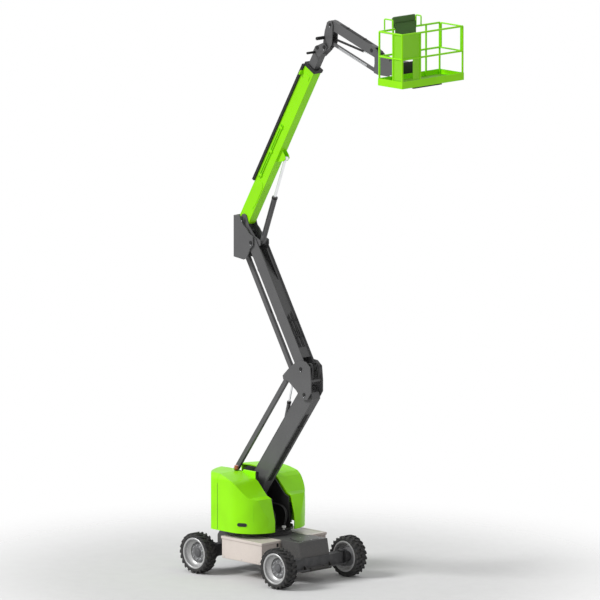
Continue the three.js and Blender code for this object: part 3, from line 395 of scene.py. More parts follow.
@dataclass(frozen=True)
class Metal(Finish):
    """Bare or plated metal with fine polishing marks."""

    stretch: Colour = (1.0, 1.0, 1.0)
    metallic: float = 1.0

    def dress(self, graph: Graph) -> bpy.types.Material:
        """Fills the material's nodes.

        Args:
            graph: The empty material.

        Returns:
            The finished material.
        """
        marks = graph.noise(120.0, 3.0, self.stretch)
        haze = graph.noise(8.0, 3.0)
        return graph.close(
            Base_Color=graph.mix(haze.band(0.35, 0.75) * 0.4, self.colour, self.shade(0.75)),
            Roughness=self.roughness + 0.1 * (marks - 0.5) + 0.08 * (haze - 0.5),
            Metallic=self.metallic,
            Normal=graph.bump(marks, 0.0001, 0.3),
        )


@dataclass(frozen=True)
class TreadPlate(Finish):
    """Deck plate with rows of raised studs."""

    pitch: float = 0.04

    def dress(self, graph: Graph) -> bpy.types.Material:
        """Fills the material's nodes.

        Args:
            graph: The empty material.

        Returns:
            The finished material.
        """
        along, across, _ = graph.axes()
        turn = 2.0 * math.pi / self.pitch
        studs = ((along + across) * turn).sine() * ((along - across) * turn).sine()
        raised = studs.band(0.35, 0.75)
        scuff = graph.noise(25.0, 4.0).band(0.45, 0.7)
        return graph.close(
            Base_Color=graph.mix(
                raised * 0.5 + scuff * 0.25, self.colour, tuple(min(1.0, 1.6 * c) for c in self.colour)
            ),
            Roughness=self.roughness - 0.12 * raised,
            Metallic=0.1,
            Normal=graph.bump(raised, 0.0018),
        )


@dataclass(frozen=True)
class PressedSheet(Paint):
    """Painted sheet with a close pattern of pressed diamonds, whose hollows are darkened with painted
    shade.
    """

    pitch: float = 0.016

    def dress(self, graph: Graph) -> bpy.types.Material:
        """Fills the material's nodes.

        Args:
            graph: The empty material.

        Returns:
            The finished material.
        """
        along, across, height = graph.axes()
        turn = 2.0 * math.pi / self.pitch
        run = along + across
        holes = ((run + height * 0.6) * turn).sine() * ((run - height * 0.6) * turn).sine()
        hollow_shade_mask = holes.band(0.1, 0.6)
        # Base colour: painted shade darkens the pressed hollows towards 0.3 of the paint's colour.
        return graph.close(
            Base_Color=graph.mix(hollow_shade_mask * 0.35, self.colour, self.shade(0.3)),
            Roughness=self.roughness + 0.2 * hollow_shade_mask,
            Coat_Weight=self.gloss * (1.0 - hollow_shade_mask),
            Normal=graph.bump(1.0 - hollow_shade_mask, 0.002, 0.8),
        )


@dataclass(frozen=True)
class Moulding(Finish):
    """Moulded plastic with a fine leathery grain."""

    def dress(self, graph: Graph) -> bpy.types.Material:
        """Fills the material's nodes.

        Args:
            graph: The empty material.

        Returns:
            The finished material.
        """
        cells = graph.node("ShaderNodeTexVoronoi", None, {"Vector": graph.place, "Scale": 480.0})
        grain = Signal(graph, cells.outputs["Distance"])
        cloud = graph.noise(5.0, 3.0)
        return graph.close(
            Base_Color=graph.mix(cloud.band(0.3, 0.7), self.colour, self.shade(0.85)),
            Roughness=self.roughness + 0.12 * (grain - 0.3),
            Normal=graph.bump(grain, 0.0004, 0.5),
        )


@dataclass(frozen=True)
class Lens(Finish):
    """Tinted lamp lens with moulded rings."""

    rings: float = 420.0

    def dress(self, graph: Graph) -> bpy.types.Material:
        """Fills the material's nodes.

        Args:
            graph: The empty material.

        Returns:
            The finished material.
        """
        _, _, height = graph.axes()
        ribs = (height * self.rings).sine() * 0.5 + 0.5
        return graph.close(
            Base_Color=graph.mix(ribs * 0.4, self.colour, self.shade(0.5)),
            Roughness=self.roughness + 0.1 * ribs,
            Coat_Weight=0.8,
            Normal=graph.bump(ribs, 0.0008),
        )


LIME_RGB: Colour = (0.345, 0.95, 0.0)
LIME = Paint("lime_paint", LIME_RGB, 0.42, Slot.LIME, gloss=0.08, dust=0.05)
LIME_COVER = Paint("lime_cover", LIME_RGB, 0.4, Slot.COVER, gloss=0.12, dust=0.05)
# A darker copy of the lime for the mesh panels: painted shade.
LIME_SHEET = PressedSheet("lime_pressed_sheet", (0.30, 0.84, 0.0), 0.5, Slot.LIME, gloss=0.05)
GREY = Paint("grey_paint", (0.118, 0.118, 0.121), 0.46, Slot.GREY, gloss=0.15, dust=0.3)
CHASSIS_GREY = Paint("chassis_grey", (0.078, 0.078, 0.081), 0.5, Slot.GREY, gloss=0.1, dust=0.35)
BLACK = Paint("black_paint", (0.014, 0.014, 0.015), 0.5, Slot.BLACK, gloss=0.15, dust=0.2)
BOX_WHITE = Paint(
    "box_white", (0.74, 0.66, 0.61), 0.42, Slot.WHITE, gloss=0.35, dust=0.3, dust_colour=(0.45, 0.40, 0.34)
)
CAST = Casting("cast_iron", (0.045, 0.045, 0.047), 0.62, Slot.CAST)
HUB_GREY = Casting("hub_grey", (0.085, 0.085, 0.09), 0.5, Slot.RIM)
TYRE = Rubber("tyre_rubber", (0.017, 0.017, 0.018), 0.78, Slot.TYRE, bloom=0.55)
HOSE = Rubber("hose_rubber", (0.02, 0.02, 0.021), 0.55, Slot.TYRE, bloom=0.15)
RIM = Metal("rim_silver", (0.50, 0.50, 0.50), 0.36, Slot.RIM, metallic=0.5)
# The disc's darker grey is partly its own colour, partly painted shade inside the deep dish.
DISC = Casting("wheel_disc", (0.16, 0.16, 0.165), 0.5, Slot.RIM)
CHROME = Metal("rod_chrome", (0.80, 0.81, 0.82), 0.13, Slot.CHROME, stretch=(1.0, 1.0, 0.2))
ZINC = Metal("zinc_plate", (0.52, 0.53, 0.54), 0.34, Slot.CHROME)
# Dark green deck: the lime floor darkened as painted shade.
DECK = TreadPlate("deck_plate", (0.13, 0.34, 0.0), 0.5, Slot.FLOOR)
CONSOLE = Moulding("console_green", (0.035, 0.115, 0.004), 0.5, Slot.CONSOLE)
PLASTIC_BLACK = Moulding("black_moulding", (0.012, 0.012, 0.013), 0.45, Slot.BLACK)
BEACON = Lens("beacon_lens", (0.50, 0.075, 0.02), 0.2)
WHITE_CAP = Moulding("white_cap", (0.78, 0.78, 0.76), 0.4, Slot.WHITE)


# ------------------------------------------------------------------ modelling by hand
@dataclass(frozen=True)
class Place:
    """A frame tilted in the machine's side view: X along, Y across to the left, Z upward off it."""

    origin: Vector
    radians: float = 0.0

    @staticmethod
    def between(start: Vector, end: Vector) -> "Place":
        """The frame in the middle plane, at start, whose X points to end.

        Args:
            start: Its origin, seen from the side.
            end: A point on its X, seen from the side.

        Returns:
            The frame.
        """
        return Place(Vector((start.x, 0.0, start.z)), math.atan2(end.z - start.z, end.x - start.x))

    @staticmethod
    def along(pin: str, slide: str) -> "Place":
        """The frame at a joint's pin whose X points the way a slide moves.

        Args:
            pin: The joint at its origin.
            slide: The sliding joint.

        Returns:
            The frame.
        """
        way = AXES[slide]
        return Place(PINS[pin], math.atan2(way.z, way.x))

    @property
    def matrix(self) -> Matrix:
        """From this frame to the machine's."""
        return Matrix.Translation(self.origin) @ Matrix.Rotation(-self.radians, 4, "Y")


HOME = Place(Vector((0.0, 0.0, 0.0)))


class Bench:
    """Hand tools. Each one leaves a single new mesh object in machine or local metres."""

    @staticmethod
    def clear() -> None:
        """Leaves edit mode and deselects everything."""
        if bpy.context.object and bpy.context.object.mode != "OBJECT":
            bpy.ops.object.mode_set(mode="OBJECT")
        bpy.ops.object.select_all(action="DESELECT")

    @staticmethod
    def pick(piece: Piece) -> Piece:
        """Makes one object the only selected and active one.

        Args:
            piece: The object.

        Returns:
            The same object.
        """
        Bench.clear()
        piece.select_set(True)
        bpy.context.view_layer.objects.active = piece
        return piece

    @staticmethod
    def settle(name: str) -> Piece:
        """Names the active object and moves its place and size into its mesh.

        Args:
            name: The new name.

        Returns:
            The object.
        """
        bpy.ops.object.transform_apply(location=True, rotation=True, scale=True)
        piece = bpy.context.object
        piece.name = piece.data.name = name
        return piece

    @staticmethod
    def edit(piece: Piece, *steps: Callable[[], object]) -> Piece:
        """Runs edit-mode operators on the whole mesh.

        Args:
            piece: The object.
            steps: Calls to run in edit mode with all selected first.

        Returns:
            The object.
        """
        Bench.pick(piece)
        bpy.ops.object.mode_set(mode="EDIT")
        bpy.ops.mesh.select_all(action="SELECT")
        for step in steps:
            step()
        bpy.ops.object.mode_set(mode="OBJECT")
        return piece

    @staticmethod
    def select_faces(piece: Piece, test: Callable[[bpy.types.MeshPolygon], bool]) -> None:
        """Selects only the faces that pass a test, in edit mode's face select.

        Args:
            piece: The object.
            test: Says whether a face is wanted.
        """
        Bench.pick(piece)
        bpy.ops.object.mode_set(mode="EDIT")
        bpy.ops.mesh.select_mode(type="FACE")
        bpy.ops.mesh.select_all(action="DESELECT")
        bpy.ops.object.mode_set(mode="OBJECT")
        for polygon in piece.data.polygons:
            polygon.select = test(polygon)
        bpy.ops.object.mode_set(mode="EDIT")

    @staticmethod
    def sunk(
        piece: Piece, facing: Sequence[float], margin: float, depth: float, step: float = 0.0
    ) -> Piece:
        """Insets the largest face that points one way and pushes it in or out.

        Args:
            piece: The object.
            facing: The way the face points.
            margin: Width of the rim that stays.
            depth: How far the inner field goes in; a negative depth raises it.
            step: Width of the sloping wall.

        Returns:
            The object.
        """
        way = Vector(facing)
        faces = [p for p in piece.data.polygons if p.normal.dot(way) > 0.98]
        if not faces:
            return piece
        target = max(faces, key=lambda p: p.area).index
        Bench.select_faces(piece, lambda p: p.index == target)
        bpy.ops.mesh.inset(thickness=margin, depth=0.0)
        bpy.ops.mesh.inset(thickness=max(step, 0.0005), depth=-depth)
        bpy.ops.object.mode_set(mode="OBJECT")
        return piece

    @staticmethod
    def soften(
        piece: Piece, width: float, segments: int = 2, angle: float = 30.0
    ) -> Piece:
        """Rounds the sharp edges with an applied bevel.

        Args:
            piece: The object.
            width: The bevel's width.
            segments: Its segments.
            angle: Edges sharper than this many degrees are rounded.

        Returns:
            The object.
        """
        Bench.pick(piece)
        made = piece.modifiers.new("soften", "BEVEL")
        made.width, made.segments, made.limit_method = width, segments, "ANGLE"
        made.angle_limit, made.use_clamp_overlap = math.radians(angle), True
        bpy.ops.object.modifier_apply(modifier=made.name)
        return piece

    @staticmethod
    def block(
        name: str, low: Sequence[float], high: Sequence[float], bevel: float = 0.003, segments: int = 2
    ) -> Piece:
        """A block with rounded edges.

        Args:
            name: The object's name.
            low: Its lowest corner.
            high: Its highest corner.
            bevel: Edge rounding; 0 for none.
            segments: Segments of the rounding.

        Returns:
            The object.
        """
        Bench.clear()
        a, b = Vector(low), Vector(high)
        bpy.ops.mesh.primitive_cube_add(size=1.0, location=(a + b) / 2)
        bpy.context.object.scale = [abs(s) for s in (b - a)]
        piece = Bench.settle(name)
        if bevel:
            Bench.edit(piece, lambda: bpy.ops.mesh.bevel(offset=bevel, segments=segments, affect="EDGES"))
        return piece

    @staticmethod
    def plate(
        name: str, outline: Sequence[tuple[float, float]], y0: float, y1: float, bevel: float = 0.003
    ) -> Piece:
        """A plate cut to an outline in X and Z and standing between two values of Y.

        Args:
            name: The object's name.
            outline: Corner points in order.
            y0: One face.
            y1: The other face.
            bevel: Edge rounding; 0 for none.

        Returns:
            The object.
        """
        Bench.clear()
        bpy.ops.mesh.primitive_circle_add(vertices=len(outline), radius=1.0, fill_type="NGON")
        piece = bpy.context.object
        for vertex, (x, z) in zip(piece.data.vertices, outline):
            vertex.co = (x, y0, z)
        Bench.settle(name)
        Bench.edit(
            piece,
            lambda: bpy.ops.mesh.extrude_region_move(TRANSFORM_OT_translate={"value": (0.0, y1 - y0, 0.0)}),
            lambda: bpy.ops.mesh.select_all(action="SELECT"),
            lambda: bpy.ops.mesh.normals_make_consistent(inside=False),
        )
        return Bench.soften(piece, bevel) if bevel else piece

    @staticmethod
    def rod(
        name: str, start: Sequence[float], end: Sequence[float], radius: float, sides: int = 24,
        rim: float = 0.002
    ) -> Piece:
        """A round rod with chamfered ends.

        Args:
            name: The object's name.
            start: Centre of one end.
            end: Centre of the other end.
            radius: Its radius.
            sides: Facets round it.
            rim: Chamfer at the ends.

        Returns:
            The object.
        """
        Bench.clear()
        a, b = Vector(start), Vector(end)
        bpy.ops.mesh.primitive_cylinder_add(
            vertices=sides, radius=radius, depth=(b - a).length, location=(a + b) / 2
        )
        piece = bpy.context.object
        piece.rotation_mode = "QUATERNION"
        piece.rotation_quaternion = (b - a).to_track_quat("Z", "Y")
        Bench.settle(name)
        return Bench.soften(piece, rim, 2, 60.0) if rim else piece

    @staticmethod
    def pipe(
        name: str, points: Iterable[Sequence[float]], radius: float, smooth: bool = True, sides: int = 3
    ) -> Piece:
        """A round pipe or hose along points.

        Args:
            name: The object's name.
            points: The line it follows.
            radius: Its radius.
            smooth: A smooth curve, or straight runs with small corners.
            sides: Roundness of the section.

        Returns:
            The object.
        """
        Bench.clear()
        path = [Vector(p) for p in points]
        curve = bpy.data.curves.new(name, "CURVE")
        curve.dimensions, curve.bevel_depth, curve.bevel_resolution = "3D", radius, sides
        curve.use_fill_caps = True
        curve.resolution_u = 10
        if not smooth:
            path = Bench.rounded(path, 2.2 * radius)
        spline = curve.splines.new("NURBS" if smooth else "POLY")
        spline.points.add(len(path) - 1)
        for point, co in zip(spline.points, path):
            point.co = (*co, 1.0)
        if smooth:
            spline.order_u, spline.use_endpoint_u = min(4, len(path)), True
        piece = bpy.data.objects.new(name, curve)
        bpy.context.scene.collection.objects.link(piece)
        Bench.pick(piece)
        bpy.ops.object.convert(target="MESH")
        return bpy.context.object

    @staticmethod
    def rounded(path: Sequence[Vector], reach: float) -> list[Vector]:
        """Replaces each inner corner of a line by a short arc.

        Args:
            path: The line's corners.
            reach: How far from a corner its arc starts.

        Returns:
            The line with arcs.
        """
        made = [path[0]]
        for before, corner, after in zip(path, path[1:], path[2:]):
            near = corner + (before - corner).normalized() * min(reach, (before - corner).length / 2)
            far = corner + (after - corner).normalized() * min(reach, (after - corner).length / 2)
            for step in range(6):
                t = step / 5
                made.append(near * (1 - t) ** 2 + corner * 2 * t * (1 - t) + far * t**2)
        return [*made, path[-1]]

    @staticmethod
    def turned(name: str, profile: Sequence[tuple[float, float]], steps: int = 64) -> Piece:
        """A shape spun round the Y axis from a closed ring of radius and Y.

        Args:
            name: The object's name.
            profile: Ring of (radius, y) points.
            steps: Steps round.

        Returns:
            The object, centred on the origin.
        """
        Bench.clear()
        bpy.ops.mesh.primitive_circle_add(vertices=len(profile), radius=1.0, fill_type="NOTHING")
        piece = bpy.context.object
        for vertex, (radius, y) in zip(piece.data.vertices, profile):
            vertex.co = (radius, y, 0.0)
        Bench.settle(name)
        return Bench.edit(
            piece,
            lambda: bpy.ops.mesh.spin(steps=steps, angle=2 * math.pi, center=(0, 0, 0), axis=(0, 1, 0)),
            lambda: bpy.ops.mesh.select_all(action="SELECT"),
            lambda: bpy.ops.mesh.remove_doubles(threshold=0.00005),
            lambda: bpy.ops.mesh.normals_make_consistent(inside=False),
        )

    @staticmethod
    def twin(piece: Piece, move: Matrix) -> Piece:
        """A moved copy with its own mesh.

        Args:
            piece: The first shape, which stays.
            move: Where the copy goes.

        Returns:
            The copy.
        """
        twin = piece.copy()
        twin.data = piece.data.copy()
        twin.data.transform(move)
        if move.determinant() < 0:
            twin.data.flip_normals()
        bpy.context.scene.collection.objects.link(twin)
        return twin

    @staticmethod
    def copies(piece: Piece, moves: Iterable[Matrix]) -> Piece:
        """Repeats a finished shape and joins the copies.

        Args:
            piece: The first shape, which is used up.
            moves: One matrix for each copy.

        Returns:
            The joined object.
        """
        made = [Bench.twin(piece, move) for move in moves]
        name = piece.name
        bpy.data.objects.remove(piece)
        joined = Bench.join(made)
        joined.name = joined.data.name = name
        return joined

    @staticmethod
    def join(pieces: Sequence[Piece]) -> Piece:
        """Joins objects into the first.

        Args:
            pieces: The objects.

        Returns:
            The first object, with all the meshes.
        """
        Bench.clear()
        for piece in pieces:
            piece.select_set(True)
        bpy.context.view_layer.objects.active = pieces[0]
        if len(pieces) > 1:
            bpy.ops.object.join()
        return bpy.context.object

    @staticmethod
    def refined(node: str, bevel: float, segments: int = 2, angle: float = 25.0) -> Piece:
        """A copy of a frame node with merged points and rounded edges.

        Args:
            node: The frame node's name.
            bevel: Edge rounding.
            segments: Segments of the rounding.
            angle: Edges sharper than this are rounded.

        Returns:
            The copy.
        """
        source = frame["nodes"][node]
        piece = bpy.data.objects.new(node + "_body", source.data.copy())
        piece.data.materials.clear()
        bpy.context.scene.collection.objects.link(piece)
        Bench.edit(
            piece,
            lambda: bpy.ops.mesh.remove_doubles(threshold=0.00002),
            lambda: bpy.ops.mesh.dissolve_limited(angle_limit=math.radians(0.6)),
        )
        return Bench.soften(piece, bevel, segments, angle) if bevel else piece


@dataclass
class SubAssembly:
    """A group of pieces that ride on one or more bodies."""

    made: list[Piece] = field(default_factory=list, init=False)

    def fit(
        self,
        piece: Piece,
        body: str,
        finish: Finish,
        place: Place = HOME,
        smooth: float = 32.0,
        stands_for: Sequence[str] = (),
    ) -> Piece:
        """Puts a finished shape in place, dresses it and lets it ride.

        Args:
            piece: The shape, in the place's own frame.
            body: The body it rides on.
            finish: Its finish.
            place: The frame it was made in.
            smooth: Shading is smooth across edges flatter than this many degrees.
            stands_for: Frame nodes that it replaces.

        Returns:
            The piece.
        """
        piece.data.transform(place.matrix)
        piece.data.materials.clear()
        piece.data.materials.append(finish.build())
        Bench.pick(piece)
        bpy.ops.object.shade_smooth_by_angle(angle=math.radians(smooth))
        level = piece.modifiers.new("level", "WEIGHTED_NORMAL")
        level.keep_sharp, level.weight = True, 90
        bpy.ops.object.modifier_apply(modifier=level.name)
        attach(piece, body)
        if stands_for:
            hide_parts(*stands_for)
        self.made.append(piece)
        return piece

    def refine(
        self, node: str, finish: Finish, bevel: float = 0.003, segments: int = 2, smooth: float = 32.0
    ) -> Piece:
        """Replaces a frame node by its refined copy.

        Args:
            node: The node.
            finish: Its finish.
            bevel: Edge rounding.
            segments: Segments of the rounding.
            smooth: Shading is smooth across edges flatter than this many degrees.

        Returns:
            The new piece.
        """
        body = frame["nodes"][node]["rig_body"]
        return self.fit(
            Bench.refined(node, bevel, segments), body, finish, smooth=smooth, stands_for=[node]
        )

    def dress(self, node: str, finish: Finish) -> None:
        """Gives a frame node that stays its finish.

        Args:
            node: The node.
            finish: Its finish.
        """
        mesh = frame["nodes"][node].data
        mesh.materials.clear()
        mesh.materials.append(finish.build())

    def bolts(
        self, name: str, spots: Iterable[Sequence[float]], facing: Sequence[float], body: str,
        place: Place = HOME, size: float = 0.012, finish: Finish = ZINC,
    ) -> None:
        """Hexagon bolts with washers.

        Args:
            name: The piece's name.
            spots: Where they sit.
            facing: The way their heads point.
            body: The body they ride on.
            place: The frame the spots are given in.
            size: Radius of a head.
            finish: Their finish.
        """
        head = Bench.rod(name, (0, 0, 0.15 * size), (0, 0, 0.95 * size), size, 6, 0.12 * size)
        washer = Bench.rod(name + "_w", (0, 0, -0.2 * size), (0, 0, 0.18 * size), 1.45 * size, 16, 0.0)
        one = Bench.join([head, washer])
        turn = Vector(facing).to_track_quat("Z", "Y").to_matrix().to_4x4()
        self.fit(
            Bench.copies(one, [Matrix.Translation(Vector(s)) @ turn for s in spots]), body, finish, place
        )

    def pin_caps(self, name: str, spot: Vector, half_width: float, radius: float, body: str) -> None:
        """Both ends of a pivot pin, each with its keeper plate and bolt.

        Args:
            name: The pieces' name.
            spot: The pin's middle, in the machine's frame.
            half_width: From the middle to the outer plate's face.
            radius: The pin's radius.
            body: The body that holds the pin.
        """
        parts = []
        for side in (-1.0, 1.0):
            face = side * half_width
            parts.append(
                Bench.rod(name, (0, face, 0), (0, face + side * 0.014, 0), radius * 1.05, 28, 0.004)
            )
            parts.append(Bench.block(
                name + "_keeper", (-radius * 0.45, face, -2.1 * radius),
                (radius * 0.45, face + side * 0.007, -0.85 * radius),
                0.002,
            ))
        self.fit(Bench.join(parts), body, BLACK, Place(spot))
        self.bolts(
            name + "_bolt", [(0, -half_width - 0.006, -1.65 * radius)], (0, -1, 0), body, Place(spot), 0.009
        )
        self.bolts(
            name + "_bolt_far", [(0, half_width + 0.006, -1.65 * radius)], (0, 1, 0), body, Place(spot),
            0.009
        )

    def report(self) -> None:
        """Writes each piece that was made to the log."""
        for piece in self.made:
            LOG.info("%s: %s, %d faces", type(self).__name__, piece.name, len(piece.data.polygons))


# ------------------------------------------------------------------ wheels and undercarriage
@dataclass
class Wheels(SubAssembly):
    """Four lugged tyres on dished rims with hubs."""

    radius: float = 0.425
    half_width: float = 0.14
    bead: float = 0.3052
    lugs: int = 22
    lug_height: float = 0.027
    lug_width: float = 0.046
    nuts: int = 9
    nut_circle: float = 0.148

    def carcass(self) -> Piece:
        """The tyre's body: beads, bulging side walls and a crowned tread base."""
        base = self.radius - self.lug_height
        half = self.half_width
        side = [
            (self.bead, half - 0.030), (self.bead + 0.010, half - 0.019), (self.bead + 0.026, half - 0.010),
            (self.bead + 0.045, half - 0.004), (self.bead + 0.062, half - 0.003),
            (base - 0.018, half - 0.007),
            (base - 0.006, half - 0.018), (base, half - 0.045), (base + 0.001, half * 0.3),
        ]
        far = [(r, -y) for r, y in reversed(side)]
        return Bench.turned("tyre", [*side, *far], 72)

    def lug(self) -> Piece:
        """One chevron lug that runs from the crown over the shoulder."""
        half = self.half_width
        top = self.radius - 0.0008
        low = self.radius - self.lug_height - 0.006
        piece = Bench.block(
            "lug", (-self.lug_width / 2, -0.012, low), (self.lug_width / 2, half - 0.040, top), 0.0
        )
        Bench.select_faces(piece, lambda p: p.normal.y > 0.9)
        bpy.ops.mesh.extrude_region_move(TRANSFORM_OT_translate={"value": (0.034, 0.037, -0.014)})
        bpy.ops.mesh.extrude_region_move(TRANSFORM_OT_translate={"value": (0.010, 0.002, -0.026)})
        bpy.ops.transform.resize(value=(0.9, 1.0, 0.5), center_override=(0.04, half - 0.002, low - 0.025))
        bpy.ops.object.mode_set(mode="OBJECT")
        for vertex in piece.data.vertices:
            vertex.co.x += 0.30 * vertex.co.y
            vertex.co.z = min(vertex.co.z, math.sqrt(max(0.0, top**2 - vertex.co.x**2)))
        Bench.edit(piece, lambda: bpy.ops.mesh.normals_make_consistent(inside=False))
        return Bench.soften(piece, 0.004, 1, 20.0)

    def tread(self) -> Piece:
        """All the lugs of a tyre, staggered left and right."""
        pitch = 2 * math.pi / self.lugs
        mirror = Matrix.Scale(-1.0, 4, (0, 1, 0))
        moves = []
        for step in range(self.lugs):
            moves.append(Matrix.Rotation(step * pitch, 4, "Y"))
            moves.append(Matrix.Rotation((step + 0.5) * pitch, 4, "Y") @ mirror)
        return Bench.copies(self.lug(), moves)

    def rim(self) -> Piece:
        """The rim's silver barrel with its two flanges; outside is +Y."""
        seat = self.half_width - 0.0215
        lip = seat + 0.012
        profile = [
            (0.216, 0.002), (0.222, 0.010), (0.244, 0.024), (0.268, 0.050), (0.281, 0.080),
            (0.288, lip - 0.006),
            (0.295, lip), (0.318, lip), (0.325, lip - 0.004), (0.326, seat), (0.3045, seat - 0.002),
            (0.3040, -seat + 0.002), (0.326, -seat), (0.325, -lip + 0.004), (0.316, -lip),
            (0.292, -lip + 0.001),
            (0.286, -0.080), (0.276, -0.030), (0.240, -0.014), (0.216, -0.012),
        ]
        return Bench.turned("rim", profile, 72)

    def disc(self) -> Piece:
        """The wheel disc bolted in the rim, in a darker grey that is partly its own and partly painted
        shade inside the deep dish.
        """
        profile = [
            (0.098, 0.014), (0.120, 0.010), (0.184, 0.010), (0.192, 0.004), (0.198, -0.012),
            (0.214, -0.014),
            (0.2155, -0.020), (0.150, -0.026), (0.098, -0.024),
        ]
        return Bench.turned("disc", profile, 64)

    def hub(self) -> Piece:
        """The hub cap in the middle of the dish."""
        profile = [
            (0.0002, 0.0445), (0.040, 0.0440), (0.046, 0.040), (0.072, 0.039), (0.080, 0.035),
            (0.086, 0.020),
            (0.097, 0.018), (0.097, -0.0140), (0.0002, -0.0145),
        ]
        return Bench.turned("hub", profile, 48)

    def nut_ring(self) -> Piece:
        """Wheel nuts on their washers, and the valve stem."""
        nut = Bench.rod("nuts", (self.nut_circle, 0.012, 0), (self.nut_circle, 0.034, 0), 0.0145, 6, 0.002)
        washer = Bench.rod(
            "washer", (self.nut_circle, 0.011, 0), (self.nut_circle, 0.0155, 0), 0.020, 16, 0.0
        )
        one = Bench.join([nut, washer])
        ring = Bench.copies(
            one, [Matrix.Rotation(2 * math.pi * k / self.nuts, 4, "Y") for k in range(self.nuts)]
        )
        valve = Bench.rod("valve", (0.0, 0.040, 0.262), (0.0, 0.086, 0.258), 0.006, 12, 0.001)
        return Bench.join([ring, valve])

    def build(self) -> None:
        """Makes one wheel and copies it to the four corners."""
        shapes = [
            (Bench.join([self.carcass(), self.tread()]), TYRE, "tyre"), (self.rim(), RIM, "rim"),
            (self.disc(), DISC, "disc"), (self.hub(), HUB_GREY, "hub"), (self.nut_ring(), ZINC, "nuts"),
        ]
        for corner in ("front_left", "front_right", "rear_left", "rear_right"):
            centre = PINS["roll_" + corner]
            turn = Matrix.Identity(4) if centre.y > 0 else Matrix.Rotation(math.pi, 4, "Z")
            for shape, finish, label in shapes:
                piece = Bench.twin(shape, Matrix.Translation(centre) @ turn)
                piece.name = piece.data.name = f"{label}_{corner}"
                nodes = {"tyre": ["tyre_" + corner], "rim": ["wheel_" + corner]}.get(label, [])
                self.fit(piece, "wheel_" + corner, finish, smooth=28.0, stands_for=nodes)
        for shape, _, _ in shapes:
            bpy.data.objects.remove(shape)


